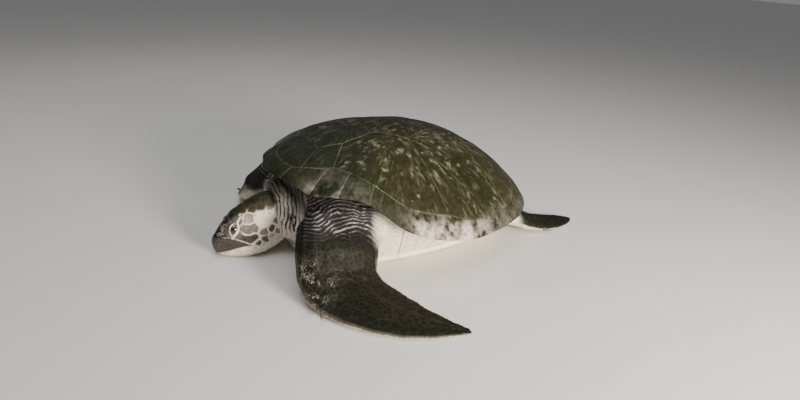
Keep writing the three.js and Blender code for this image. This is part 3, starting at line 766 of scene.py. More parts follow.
class Surface:
    """A mesh as arrays, for smoothing."""

    def __init__(self, points, edges, quads):
        self.points, self.edges, self.quads = points, edges, quads
        self.degree = np.bincount(edges.ravel(), minlength=len(points))

    def gathered(self, owners, vectors):
        """For each point, the sum of the vectors that it owns."""
        total = [np.bincount(owners, vectors[:, k], len(self.points)) for k in range(3)]
        return np.stack(total, -1)

    def pull(self):
        """From each point to the middle of its neighbours."""
        a, b = self.edges.T
        total = self.gathered(a, self.points[b]) + self.gathered(b, self.points[a])
        return total / self.degree[:, None] - self.points

    def normals(self):
        a, b, c, d = (self.points[self.quads[:, k]] for k in range(4))
        cross = np.cross(c - a, d - b)
        return unit(sum(self.gathered(corner, cross) for corner in self.quads.T))

    def relax(self, rounds, weight):
        """Smoothing that keeps the volume: a step in, then a little further out."""
        for _ in range(rounds):
            for step in (0.5, -0.52):
                self.points = self.points + self.pull() * (step * weight)[:, None]

    def fill(self, rounds, weight):
        """Hollows fill up while rolls keep their height."""
        for count in range(rounds):
            if count % 5 == 0:
                normals = self.normals()
            pull = self.pull()
            hollow = (pull * normals).sum(-1) > 0
            self.points = self.points + pull * (np.where(hollow, 0.6, 0.04) * weight)[:, None]


def distance_to(line, xy):
    """How far each plan point is from a line through several corners."""
    line = np.array(line, float)
    best = np.full(len(xy), 1e9)
    for start, end in zip(line, line[1:]):
        run = end - start
        t = np.clip((xy - start) @ run / (run @ run), 0, 1)
        best = np.minimum(best, np.linalg.norm(xy - start - t[:, None] * run, axis=1))
    return best


def fore_chord(points):
    """Across the front paddle: 0 at its leading edge, 1 at its trailing edge."""
    xy = np.stack([np.abs(points[:, 0]), points[:, 1]], -1)
    leading, trailing = distance_to(FORE_LEADING, xy), distance_to(FORE_TRAILING, xy)
    return leading / np.maximum(leading + trailing, 1e-6)


def zones(points):
    """Where each kind of skin lies, each from 0 to 1, on both sides alike; then the
    distances along the arm, round the shoulder's fold line and out from the neck's axis."""
    x, y, z = np.abs(points[:, 0]), points[:, 1], points[:, 2]
    mirror = np.stack([x, y, z], -1)
    along_arm = (mirror - SHOULDER) @ unit(np.array(ELBOW, float) - SHOULDER)
    from_fold, axis = mirror - FOLD_CENTRE, unit(np.array(FOLD_AXIS))
    arc = np.linalg.norm(from_fold - (from_fold @ axis)[:, None] * axis, axis=1)
    ring = np.hypot(x, z - NECK_CENTRE)
    neck = ramp(ring, 200, 172) * ramp(y, -285, -325)
    paddle = ramp(x, 335, 365) * (y < 0)
    front = np.maximum(ramp(y, -105, -165), paddle)
    return {
        "neck": neck,
        "shoulder": front * (1 - neck) * ramp(along_arm, 215, 165) * (1 - paddle),
        "fore": np.maximum(ramp(along_arm, 135, 190) * front, paddle),
        "hind": ramp(y, 395, 450) * ramp(x, 40, 75),
        "tail": ramp(y, 400, 460) * ramp(x, 75, 40),
        "flank": (1 - front) * ramp(y, 450, 395),
        "along_arm": along_arm,
        "arc": arc,
        "ring": ring,
    }


def shown(points):
    """Whether each point of the flesh can be seen outside the shell."""
    degrees, fraction = polar(points[:, :2])
    depth = shell_top(degrees, np.minimum(fraction, 1))[:, 2] - points[:, 2]
    under_shell = (fraction < 0.86) & (depth < 34)
    inside = np.hypot(points[:, 0], points[:, 1]) < plastron_radius(degrees) * 0.9
    on_plastron = inside & (points[:, 2] < PLASTRON_THICKNESS + 9)
    return ~(under_shell | on_plastron)


def smoothed_flesh(solid):
    """The flesh with its joints filled and softened, and its thin parts left sharp."""
    points = (numbers(solid.vertices, "co", 3) - SHELL_CENTRE) / MM
    quads = np.array([face.vertices[:] for face in solid.polygons if len(face.vertices) == 4])
    body = Surface(points, numbers(solid.edges, "vertices", 2, np.int64), quads)
    thin = np.maximum(ramp(np.abs(points[:, 0]), 330, 400), ramp(points[:, 1], 480, 540))
    body.relax(14, 1 - 0.6 * thin)
    x, y, z = np.abs(body.points[:, 0]), body.points[:, 1], body.points[:, 2]
    joint = ramp(x, 95, 150) * ramp(x, 350, 300) * ramp(y, -450, -410) * ramp(y, -80, -130)
    rump = 0.7 * ramp(y, 330, 370) * ramp(y, 500, 450)
    body.fill(60, joint * ramp(z, 12, 40) + rump * ramp(z, 12, 30))
    body.relax(8, 1 - 0.6 * thin)
    return body


def refine(bm, body):
    """Removes the flesh inside the shell, closes the holes, and makes folded skin fine."""
    seen = shown(body.points)
    gone = [face for face in bm.faces if not any(seen[v.index] for v in face.verts)]
    place = zones(body.points)
    upper = body.normals()[:, 2] > -0.25
    fine = place["neck"] + place["shoulder"] > 0.3
    fine |= (place["fore"] + place["hind"] > 0.4) & upper
    fine_edges = [edge for edge in bm.edges if all(fine[v.index] for v in edge.verts)]
    bmesh.ops.delete(bm, geom=gone, context="FACES")
    bmesh.ops.holes_fill(bm, edges=[edge for edge in bm.edges if edge.is_boundary], sides=0)
    caps = [face for face in bm.faces if len(face.verts) > 4]
    fine_edges = [edge for edge in fine_edges if edge.is_valid]
    fine_edges = [edge for edge in fine_edges if all(len(f.verts) <= 4 for f in edge.link_faces)]
    bmesh.ops.triangulate(bm, faces=caps)
    bmesh.ops.subdivide_edges(bm, edges=fine_edges, cuts=1, use_grid_fill=True)
    bm.normal_update()


def skin_body():
    """The fleshy body's points, normals and faces: fine where the skin is folded."""
    solid = welded_flesh()
    body = smoothed_flesh(solid)
    bm = bmesh.new()
    bm.from_mesh(solid)
    bpy.data.meshes.remove(solid)
    for vertex, place in zip(bm.verts, body.points):
        vertex.co = place
    refine(bm, body)
    mesh = bpy.data.meshes.new("skin_body")
    bm.to_mesh(mesh)
    bm.free()
    edges = numbers(mesh.edges, "vertices", 2, np.int64)
    skin = Surface(numbers(mesh.vertices, "co", 3), edges, np.zeros((0, 4), int))
    skin.relax(4, np.full(len(skin.points), 0.8))
    mesh.vertices.foreach_set("co", skin.points.ravel())
    mesh.update()
    normals = numbers(mesh.vertex_normals, "vector", 3)
    faces = [tuple(face.vertices) for face in mesh.polygons]
    bpy.data.meshes.remove(mesh)
    return skin.points, normals, faces


def neck_folds(points, ring, warps):
    """Folds round the neck, with finer ones among them."""
    warp, fine_warp, tiny_warp = warps
    run = 0.75 * (points[:, 1] + 420) + 0.66 * (ring - 88)
    run = run + 8 * warp + 4.5 * fine_warp + 1.2 * tiny_warp
    return 0.75 * folds(run, 14.5, 0.6) + 0.25 * folds(run + 3 * tiny_warp, 6.3, 0.7)


def arm_folds(points, z, warps):
    """The folds of the shoulder and of the arm's sleeve, and their depth. Round the
    shoulder they follow its fold line; on its front they lie level."""
    warp, fine_warp, tiny_warp = warps
    before = ramp(points[:, 1], -325, -375)
    level = 0.95 * (points[:, 2] - 150) - 0.35 * (np.abs(points[:, 0]) - 280) + 110
    run = z["arc"] * (1 - before) + level * before
    run = run + (9 * warp + 4 * fine_warp + 1.2 * tiny_warp) * (1 - 0.3 * before)
    arc_fold = folds(run, 10.5, 0.6) * 0.75 + folds(run * 1.3 + 8 * fine_warp, 7.5, 0.7) * 0.25
    sleeve_fold = folds(z["along_arm"] + 11 * warp + 4 * fine_warp, 9, 0.7)
    outer = ramp(z["arc"], 62, 100)
    depth = (3.6 * outer + 1.0 * (1 - outer)) * ramp(z["along_arm"], 210, 120)
    depth = depth * ramp(points[:, 1], -115, -170)
    return arc_fold * outer + sleeve_fold * (1 - outer), depth


def paddle_scales(points, limb, z):
    """Scales of the limbs, with a row of large ones along the front paddle's leading
    edge: distance in from each scale's edge, its number, and the place across."""
    edge, number = np.full(len(points), 9.0), np.zeros(len(points))
    chord = np.full(len(points), 0.5)
    on_limb = np.flatnonzero(limb > 0.02)
    own = points[on_limb]
    spots = own * [1, 1, 0.55]
    spots[:, 2] += 0.45 * np.clip(own[:, 2] - 70, 0, None)
    across = fore_chord(own)
    small_edge, small_number = cells(spots, 15, 45)
    large_edge, large_number = cells(spots, 27, 46)
    lead = (across < LEAD_SCALES) & (z["fore"][on_limb] > z["hind"][on_limb])
    row_edge = np.abs(across - LEAD_SCALES) * 240
    edge[on_limb] = np.minimum(np.where(lead, large_edge, small_edge), row_edge)
    number[on_limb] = np.where(lead, large_number, small_number)
    chord[on_limb] = across
    return edge, number, chord


def skin_relief(points, normals):
    """Folds, creases and scales of the body's skin, and the state of each point."""
    z = zones(points)
    warps = noise(points, 60, 40), noise(points, 24, 41), noise(points, 10, 44)
    warp = warps[0]
    neck_fold = neck_folds(points, z["ring"], warps)
    arm_fold, arm_depth = arm_folds(points, z, warps)
    flank_fold = folds(points[:, 2] + 10 * warp, 20, 0.7)
    root_fold = folds(points[:, 1] + 0.4 * points[:, 2] + 8 * warp, 13, 0.6)
    wrinkle = 1 - np.abs(noise(points, 9, 42)) * 1.6
    relief = z["neck"] * 5.5 * (neck_fold - 0.6)
    relief += z["shoulder"] * arm_depth * (arm_fold - 0.62)
    relief += z["flank"] * 0.9 * (flank_fold - 0.6)
    tail_root = ramp(points[:, 1], 560, 470) * (z["hind"] + z["tail"])
    relief += tail_root * 1.8 * (root_fold - 0.6)
    relief += 0.5 * wrinkle * (z["shoulder"] + z["neck"]) + 1.1 * noise(points, 70, 43)
    limb = np.clip(z["fore"] + z["hind"], 0, 1)
    edge, number, chord = paddle_scales(points, limb, z)
    gap = (1 - ramp(edge, 0.2, 2.6)) * limb
    relief += limb * (0.9 * ramp(edge, 0, 6) - 0.4) * ramp(np.abs(normals[:, 2]), 0.1, 0.55)
    bones = z["fore"] * 1.6 * np.sin(2 * np.pi * 2.5 * chord)
    relief += bones * ramp(chord, 0.15, 0.35) * ramp(chord, 0.95, 0.7)
    on_floor = ramp(points[:, 2], 6, 1.0)
    relief = np.where(normals[:, 2] < -0.4, relief * (1 - on_floor), relief)
    moved = points + normals * relief[:, None]
    moved[:, 2] = np.maximum(moved[:, 2], np.minimum(points[:, 2], 0.6))
    state = {
        "neck_fold": neck_fold, "arm_fold": arm_fold,
        "arm_strength": np.clip(arm_depth / 3.5, 0, 1),
        "gap": gap, "number": number, "chord": chord, **z,
    }
    return moved, state


def arm_tone(tone, points, normals, state, patch, fleck):
    """Shoulder: dark rolls with pale, broken lines along them, cream to the rear."""
    y, z = points[:, 1], points[:, 2]
    crest = ramp(state["arm_fold"], 0.84, 0.98) * state["arm_strength"]
    line = crest * (0.2 + 0.8 * ramp(noise(points, 24, 52) + 0.5 * fleck, -0.6, 0.4))
    facing = 0.35 + 0.65 * ramp(normals[:, 1], -0.75, -0.2)
    upper = np.clip(ramp(z, 120, 215) + 0.25, 0, 0.85) * facing
    arm = blend(tone, FOLD_LINE, line * upper)
    broken = noise(points, 38, 53) * 0.35 + 0.25 * (state["arm_fold"] - 0.5)
    arm = arm * (1 - 0.65 * ramp(state["arc"], 115, 75))[:, None]
    rear = ramp(y + 0.10 * (z - 120) + 45 * broken, -208, -142)
    rear = rear * ramp(state["along_arm"], 185, 130)
    return blend(arm, blend(CREAM, WHITE, 0.5 + 0.5 * patch), rear)


def neck_tone(points, state, fleck):
    """Neck: white along the crests low on the sides, black in the creases, and painted shade above.
    """
    low, under = ramp(points[:, 2], 215, 120), ramp(points[:, 2], 92, 60)
    start = 0.42 + 0.22 * noise(points, 40, 57)
    # Painted shade: the white lines fade out towards the top of the neck.
    white = ramp(state["neck_fold"], start, start + 0.3) * (0.12 + 0.78 * low)
    white = white * ramp(noise(points, 30, 54) + 0.7 * fleck, -1.3, -0.3)
    return blend(BLACK, WHITE, np.maximum(white, under * 0.95))


def paddle_tone(points, normals, state):
    """Limbs: near-black scales above, pale below, with narrow lighter joints."""
    mottle = 0.5 + 0.5 * noise(points, 26, 55)
    paddle = blend(FLIPPER, FLIPPER_SCALE, 0.5 * mottle + 0.5 * state["number"])
    paddle = blend(paddle, FLIPPER_JOINT, state["gap"] * 0.7)
    rim = ramp(np.abs(state["chord"] - 0.5), 0.46, 0.5) * state["fore"]
    paddle = blend(paddle, FLIPPER_RIM, rim * 0.35)
    below = blend(CREAM, UMBER, 0.3 * mottle + 0.3 * state["gap"])
    return blend(below, paddle, ramp(normals[:, 2], -0.35, 0.1))


def skin_paint(points, normals, state):
    """For the body's skin: its colour, how pebbled it is, and where sand clings."""
    patch, fleck = noise(points, 50, 50), noise(points, 7, 51)
    tone = blend(BLACK, PLUM, 0.45 + 0.6 * patch)
    arm = arm_tone(tone, points, normals, state, patch, fleck)
    tone = blend(tone, arm, state["shoulder"])
    tone = blend(tone, neck_tone(points, state, fleck), state["neck"])
    tone = blend(tone, blend(CREAM, WHITE, 0.6 + 0.5 * patch), state["flank"])
    limbs = np.clip(state["fore"] + state["hind"] + state["tail"], 0, 1)
    tone = blend(tone, paddle_tone(points, normals, state), limbs)
    underside = ramp(normals[:, 2], -0.15, -0.6) * (1 - limbs) * 0.8
    tone = blend(tone, blend(CREAM, WHITE, 0.3), underside)
    # Sand clings round the elbow and along the front edge.
    mirror = np.column_stack([np.abs(points[:, 0]), points[:, 1:]])
    elbow = np.linalg.norm(mirror - (362, -435, 30), axis=1)
    sand = ramp(elbow, 120, 40) * ramp(noise(points, 19, 56) + 0.6 * fleck, -0.35, 0.6)
    pebbled = np.clip(state["shoulder"] + state["neck"] + state["flank"], 0, 1)
    return tone, pebbled, sand


# ---- head ----------------------------------------------------------------------------

HEAD_ROWS, HEAD_COLUMNS = 160, 250
FRONT_ROWS = 36  # rows over the first 30 mm
HEAD_PEBBLED = 0.35
# Head scales on the left side: back, angle from the crown, paleness, and a number
# shared by the spots that make up one long scale.
HEAD_SHIELDS = [
    (34, 20, 0.1, 0), (54, 18, 0.1, 0), (74, 0, 0.1, 0), (88, 25, 0.05, 0), (106, 0, 0.05, 0),
    (112, 13, 0.05, 0), (134, 12, 0.05, 1), (158, 15, 0.05, 1), (140, 27, 0.10, 0),
    (164, 32, 0.15, 0), (182, 0, 0.05, 0), (188, 24, 0.1, 0), (194, 40, 0.5, 0),
    (210, 6, 0.1, 0), (212, 28, 0.15, 0), (123, 44, 0.55, 0), (148, 50, 1.0, 2),
    (166, 50, 1.0, 2), (154, 63, 1.0, 2), (186, 55, 0.9, 0), (207, 50, 0.85, 0),
    (107, 67, 0.34, 3), (127, 67, 0.34, 3), (86, 78, 0.10, 4), (101, 80, 0.10, 4),
    (116, 82, 0.10, 4), (152, 77, 0.40, 0), (170, 66, 0.9, 0), (152, 88, 0.25, 0),
    (128, 91, 0.22, 0), (140, 96, 0.75, 0), (178, 76, 0.22, 0), (196, 67, 0.42, 0),
    (194, 82, 0.6, 0), (210, 66, 0.8, 0), (170, 88, 0.7, 0), (186, 93, 0.8, 0),
    (208, 80, 0.7, 0), (206, 94, 0.8, 0), (164, 99, 0.85, 0), (122, 101, 0.85, 0),
    (146, 106, 0.9, 0), (184, 106, 0.9, 0), (206, 108, 0.9, 0), (52, 40, 0.15, 0),
    (44, 56, 0.2, 0), (34, 42, 0.2, 0),
]


def head_to_shell(local):
    """Points given as (back, up, out) from the beak's tip, in the shell's frame."""
    back, up, out = np.moveaxis(np.asarray(local, float), -1, 0)
    pitch = math.radians(HEAD_PITCH)
    y = back * math.cos(pitch) - up * math.sin(pitch)
    z = back * math.sin(pitch) + up * math.cos(pitch)
    z = np.maximum(z, -HEAD_TIP[2] + 0.3)
    return np.stack([out, y, z], -1) + HEAD_TIP


def head_section(back, degrees):
    """The head's plain surface; degrees run from 0 at the crown round to the left."""
    columns = list(zip(*HEAD_STATIONS))
    top, bottom, half = (smooth(list(zip(columns[0], c)), back) for c in columns[1:])
    angle = np.radians(degrees)
    power = np.where(np.cos(angle) > 0, *HEAD_POWER)
    across = np.sign(np.sin(angle)) * np.abs(np.sin(angle)) ** power
    upward = np.sign(np.cos(angle)) * np.abs(np.cos(angle)) ** power
    reach = np.where(upward > 0, top, -bottom)
    narrowing = np.where(upward < 0, 1 + 0.1 * upward, 1)
    return np.stack([back + 0 * upward, reach * upward, half * across * narrowing], -1)


def shield_mosaic(points, wobble):
    """For each point of the head: how far it is inside its scale, and the scale's tone."""
    seeds, tones, groups = [], [], []
    for i, (at, angle, pale, group) in enumerate(HEAD_SHIELDS):
        for sign in (1, -1) if angle else (1,):
            seeds.append(head_section(np.array(float(at)), np.array(float(angle * sign))))
            tones.append(pale)
            groups.append((group or 100 + i) * sign)
    tree = KDTree(len(seeds))
    for i, seed in enumerate(seeds):
        tree.insert(seed, i)
    tree.balance()
    depth, tone = np.zeros(len(points)), np.zeros(len(points))
    for i, point in enumerate(points + wobble):
        found = tree.find_n(point, 5)
        own = groups[found[0][1]]
        other = next((f[2] for f in found[1:] if groups[f[1]] != own), found[-1][2])
        depth[i] = other - found[0][2]
        tone[i] = tones[found[0][1]]
    return depth, tone


def eye_frame(side):
    """Centre, outward axis and the lids' long and short directions, in the head's frame."""
    flip = np.array([1, 1, side])
    axis = unit(np.array(EYE_AXIS)) * flip
    long = np.array([0.5, 0.9, 0.0])
    long = unit(long - axis * (long @ axis))
    return np.array(EYE_CENTRE) * flip, axis, long, unit(np.cross(long, axis)) * side


def lid_form(a, c):
    """The lids, at a along and c across the eye's opening: distance from its middle,
    distance outside its edge, the lids' rolls, creases and wrinkles, and their rims."""
    half_length, half_width = EYE_OPENING[0] / 2, EYE_OPENING[1] / 2
    edge = np.maximum(half_width * (1 - (a / half_length) ** 2), -1.0)
    lean = 0.005 * np.clip(a - 12, 0, None) ** 2
    rear, front = c - edge - lean, -c - edge
    near = np.hypot((a - 4) / 30, (c - 2) / 22)
    rear_reach = ramp(a, 57, 45) * ramp(a, -34, -22)
    front_reach = ramp(np.abs(a), 24, 15)
    taper = 0.13 * np.clip(a - 14, 0, None)
    roll = peak(rear - 5.0, 3.8) * rear_reach * 1.5 + peak(front - 2.4, 1.9) * front_reach
    crease = peak(rear + taper - 11.8, 1.4) * rear_reach
    crease += 0.8 * peak(front - 6.0, 1.2) * front_reach
    wrinkle = np.cos(rear * 1.9) * ramp(rear, 12, 14) * ramp(near, 1.5, 1.1)
    rear_rim = ramp(rear, 0.2 + 0.3 * taper, 1.4) * ramp(rear + taper, 10.6, 8.6) * rear_reach
    front_rim = ramp(front, 0.2, 1.0) * ramp(front, 4.2, 3.0) * front_reach
    rims = np.maximum(rear_rim * (c > 0), front_rim * (c < 0))
    return near, np.maximum(rear, front), roll, crease, wrinkle, rims


def open_lids(points, head):
    """Lays the skin over each eyeball as two thick lids with an almond gap between."""
    for key in ("rim", "inside", "lids", "lid_crease"):
        head[key] = np.zeros(points.shape[:-1])
    for side in (1, -1):
        centre, axis, long, short = eye_frame(side)
        away = points - centre
        facing = (away @ axis > -1) * 1.0
        a, c = away @ long, away @ short
        near, outside, roll, crease, wrinkle, rims = lid_form(a, c)
        distance = np.linalg.norm(away, axis=-1)
        cover = ramp(near, 1.7, 0.95) * facing
        target = np.maximum(distance, EYE_RADIUS + 1.0) * cover + distance * (1 - cover)
        target = target + cover * (2.2 * roll - 1.8 * crease + 0.4 * wrinkle)
        gap = ramp(outside, 0.3, -0.5) * facing * (np.abs(a) < EYE_OPENING[0] / 2)
        target = target * (1 - gap) + (EYE_RADIUS - 3.5) * gap
        points = centre + away * (target / np.maximum(distance, 1e-6))[..., None]
        rims = rims * (away @ axis > -24) * (np.abs(c) < 36)
        creases = (crease + 0.4 * wrinkle) * cover
        found = {"rim": rims, "inside": gap, "lids": cover, "lid_crease": creases}
        for key, values in found.items():
            head[key] = np.maximum(head[key], values)
    return points


def head_grid():
    """The head's plain form: its points, their normals and their angle from the crown."""
    back = np.concatenate([
        np.linspace(0, 30, FRONT_ROWS)[:-1],
        np.linspace(30, HEAD_LENGTH, HEAD_ROWS - FRONT_ROWS + 1),
    ])
    degrees = np.arange(HEAD_COLUMNS) * 360 / HEAD_COLUMNS
    rows, columns = np.meshgrid(back, degrees, indexing="ij")
    local = head_section(rows, columns)
    normal = grid_normals(np.concatenate([local[:, -1:], local, local[:, :1]], 1))[:, 1:-1]
    inward = (normal[..., 1:] * local[..., 1:]).sum(-1, keepdims=True) < 0
    return local, np.where(inward, -normal, normal), folded(columns)


def head_surface():
    """The head's skin: plain form, scales, jaws, lids and nostrils."""
    local, normal, angle = head_grid()
    b, u, o = np.moveaxis(local, -1, 0)
    left = np.stack([b, u, np.abs(o)], -1)
    flat = local.reshape(-1, 3)

    def bump(centre, spread, height):
        away = (left - centre) / spread
        return height * np.exp(-(away ** 2).sum(-1))

    # Brow and cheek stand out, the snout's side is hollow, and the jaw's muscle bulges.
    form = bump((86, 82, 34), (26, 15, 18), 2.5) + bump((140, 10, 75), (42, 34, 30), 2.5)
    form += bump((42, 38, 34), (16, 14, 16), -2.0) + bump((126, -40, 60), (40, 22, 30), 2.0)

    wobble = np.stack([noise(flat, 16, 60 + k) for k in range(3)], -1) * 1.6
    depth, pale = (a.reshape(b.shape) for a in shield_mosaic(flat, wobble))
    above_band = u - smooth(JAW_BAND, b)
    scaled = ramp(b, 22, 34) * ramp(above_band, 0, 5) * ramp(u, -40, -26)
    scaled = np.where(b > JAW_BAND[-1][0], ramp(b, 22, 34) * ramp(u, -40, -26), scaled)
    crease = (1 - ramp(depth, 0.2, 2.8)) * scaled
    form = form + scaled * 1.1 * ramp(depth, 0, 11) - 0.8 * crease
    form = form + 0.25 * noise(flat, 6, 66).reshape(b.shape)

    below = u - smooth(MOUTH_LINE, b)
    gap = np.abs(below + 4 * ramp(b, 96, 112))
    mouth = peak(gap, 1.5) * ramp(b, MOUTH_END + 10, MOUTH_END)
    form = form - 2.6 * mouth + 1.0 * peak(gap - 5, 3) * ramp(b, 116, 100)
    throat = folds(b + 6 * noise(flat, 40, 67).reshape(b.shape), 14, 0.7)
    form = form + ramp(u, -28, -44) * ramp(b, 90, 120) * 1.3 * (throat - 0.6)
    nostril = bump((18, 36.5, 8), (3.4, 3.0, 3.0), 1.0)
    form = form - 4.0 * nostril

    head = {
        "normal": normal, "back": b, "up": u, "angle": angle, "crease": crease,
        "depth": depth, "pale": pale, "mouth": mouth, "nostril": nostril, "scaled": scaled,
        "below": below, "above_band": above_band,
    }
    head["points"] = open_lids(local + normal * form[..., None], head)
    return head


def crown_tone(head, patch, edge):
    """Crown: olive, browner towards the cheek, with faint joints."""
    brown = ramp(head["angle"], edge - 34, edge - 4)
    crown = blend(blend(CROWN, MOSS, 0.5 + 0.5 * patch), UMBER, brown * 0.8)
    return blend(crown, CROWN_JOINT, head["crease"] * 0.45)


def cheek_tone(points, head, patch, grain):
    """Cheek: cream, with grey-brown middles to some of its scales."""
    pale = blend(WHITE, CREAM, 0.35 + 0.4 * patch)
    middle = blend(*SHIELD_TONES, head["pale"] ** 1.3 * 1.2)
    middle = middle * (1 + 0.35 * noise(points, 8, 78))[:, None]
    spread = head["depth"] + 1.6 * noise(points, 12, 79)
    spread = ramp(spread, 0.5 + 2.0 * grain, 8.5 + 5 * grain)
    return blend(pale, middle, spread * ramp(head["pale"], 0.95, 0.6) * head["scaled"])


def jaw_paint(tone, points, head, patch, grain, cheek):
    """Pale lower jaw, flecked cheek, and the dark band along the mouth."""
    b, u, below = head["back"], head["up"], head["below"]
    jaw = blend(CREAM, WHITE, 0.6 + 0.5 * patch)
    lower = np.where(b < MOUTH_END, ramp(below, 1, -1), ramp(u, -22, -36))
    tone = blend(tone, jaw, lower)
    spot = ramp(noise(points, 5, 76) + 0.35 * noise(points, 11, 77), 0.72, 0.95)
    tone = blend(tone, CHEEK_SPOT, spot * cheek * ramp(b, 112, 140) * 0.8)
    band = ramp(head["above_band"], 1.5, -1) * ramp(below, -1, 0.5) * ramp(b, 116, 100)
    tone = blend(tone, blend(*LIP_TONES, ramp(grain, 0.1, 0.6)), band)
    skirt = peak(head["above_band"] - 2, 2.2) * ramp(b, 58, 72) * ramp(b, 122, 112)
    return blend(tone, WHITE, skirt * 0.75)


def head_paint(head):
    """The colour of the head's skin."""
    points = head["points"].reshape(-1, 3)
    head = {key: values.ravel() for key, values in head.items() if values.ndim == 2}
    b = head["back"]
    grain = noise(points, 4, 70) * 0.6 + noise(points, 10, 71) * 0.4
    patch = noise(points, 34, 72)
    edge = smooth(CROWN_EDGE, b) + 7 * noise(points, 14, 73) + 3 * grain
    cheek = ramp(head["angle"], edge - 5, edge + 9)
    crown = crown_tone(head, patch, edge)
    tone = blend(crown, cheek_tone(points, head, patch, grain), cheek)
    # Before the eye the skin is dark with pale flecks.
    lore = ramp(b, 74, 58) * ramp(head["above_band"], 0, 4)
    fleck = ramp(noise(points, 6, 74) + 0.5 * noise(points, 14, 75), 0.0, 0.5)
    tone = blend(tone, blend(*LORE_TONES, fleck * 0.7), lore)
    tone = jaw_paint(tone, points, head, patch, grain, cheek)
    tone = tone * (1 + 0.16 * grain)[:, None]
    tone = blend(tone, LID_SKIN, head["lids"] * 0.55)
    # Painted shade: the lids' creases and wrinkles are darkened.
    tone = blend(tone, LID_CREASE_SHADE, np.clip(head["lid_crease"], 0, 1) * 0.85)
    lid_tone = blend(*LID_TONES, 0.5 + 0.8 * noise(points, 5, 80))
    tone = blend(tone, lid_tone, head["rim"] * 0.92)
    # Painted shade: the mouth's gap, the nostrils and the skin inside the lids' opening are
    # darkened.
    dark = np.clip(head["mouth"] * 0.8 + head["inside"] + head["nostril"], 0, 1)
    return blend(tone, HOLLOW_SHADE, dark)


def closed_head(head):
    """The head's points and faces, closed at the tip and, inside the neck, at the back."""
    rows, columns = head["back"].shape
    points = head_to_shell(head["points"].reshape(-1, 3))
    tip = head_to_shell(np.array([-1.5, 2.0, 0.0]))
    rear = points[-columns:].mean(axis=0)
    points = np.concatenate([points, [tip, rear]])
    return points, outward(points, capped_tube(rows, columns))


def build_skin(material, head):
    points, normals, faces = skin_body()
    points, state = skin_relief(points, normals)
    tone, pebbled, sand = skin_paint(points, normals, state)
    head_points, head_faces = closed_head(head)
    head_tone = head_paint(head)
    head_tone = np.concatenate([head_tone, head_tone[-2:]])  # for the two closing points
    paint = {
        "tone": np.concatenate([tone, head_tone]),
        "pebbled": np.append(pebbled, np.full(len(head_points), HEAD_PEBBLED)),
        "sand": np.append(sand, np.zeros(len(head_points))),
    }
    faces = outward(points, faces)
    faces = faces + [tuple(i + len(points) for i in face) for face in head_faces]
    points = np.concatenate([points, head_points])
    piece("skin", points, faces, paint, material, [*FLESH, "head", "lower_jaw"])


# ---- beak, eyes and claws ------------------------------------------------------------

SHEATH_DIP = -3.5  # how far a horn sheath runs on under the skin
CORNEA = 1.3
EYE_RINGS, EYE_SIDES = 38, 56
CLAW_RINGS, CLAW_SIDES = 16, 20
CLAW_RADIUS = 6.0


def without_loose(points, faces):
    """The points that some face uses, and the faces numbered to match."""
    used = np.zeros(len(points), bool)
    for face in faces:
        used[list(face)] = True
    place = np.cumsum(used) - 1
    return points[used], [place[list(face)] for face in faces]


def horn_sheath(node, head, inside, thickness, colours, material):
    """A horn sheath over part of the head. inside is the distance in from its edge, and
    the sheath dips under the skin where that is below zero, so its edge is clean."""
    rows, columns = inside.shape
    keep = inside.ravel() > SHEATH_DIP
    raised = thickness * ramp(inside, -1.5, 3.5) - 0.9
    outer = (head["points"] + head["normal"] * raised[..., None]).reshape(-1, 3)
    inner = (head["points"] - head["normal"] * 5.0).reshape(-1, 3)
    faces = [tuple(f) for f in grid_faces(rows, columns, wrap=True) if keep[list(f)].all()]
    tip = len(outer)
    if keep[:columns].all():
        faces += [(tip, (j + 1) % columns, j) for j in range(columns)]
    middle = head["points"][0].mean(axis=0)
    outer = np.concatenate([outer, [middle - (2.2, 0, 0)]])
    inner = np.concatenate([inner, [middle + (6.0, 0, 0)]])
    edges = dict.fromkeys((p, q) for f in faces for p, q in zip(f, (*f[1:], f[0])))
    rim = [(p, q) for p, q in edges if (q, p) not in edges]
    count = len(outer)
    solid = faces + [tuple(i + count for i in f[::-1]) for f in faces]
    solid += [(q, p, p + count, q + count) for p, q in rim]
    points, solid = without_loose(head_to_shell(np.concatenate([outer, inner])), solid)
    streak = noise(points * [1, 0.35, 1], 5, 80) * 0.5 + noise(points, 11, 81) * 0.5
    paint = {"tone": blend(*colours, 0.5 + 0.6 * streak)}
    piece(f"{node}_horn", points, solid, paint, material, [node])


def edge_side(b, u, line, turn):
    """Distance from a slanting line between two (back, up) points; turn picks the side."""
    (b0, u0), (b1, u1) = line
    out = unit(np.array([u0 - u1, b1 - b0], float)) * turn
    return -((b - b0) * out[0] + (u - u0) * out[1])


def build_beak(head, material):
    b, u, below = head["back"], head["up"], head["below"]
    upper = np.minimum(edge_side(b, u, UPPER_BEAK, 1), np.minimum(below, UPPER_BEAK[0][1] - u))
    horn_sheath("beak_upper", head, upper, 2.2, UPPER_BEAK_TONES, material)
    lower = np.minimum(edge_side(b, u, LOWER_BEAK, -1), np.minimum(-below, LOWER_BEAK[1][0] - b))
    horn_sheath("beak_lower", head, lower, 1.8, LOWER_BEAK_TONES, material)


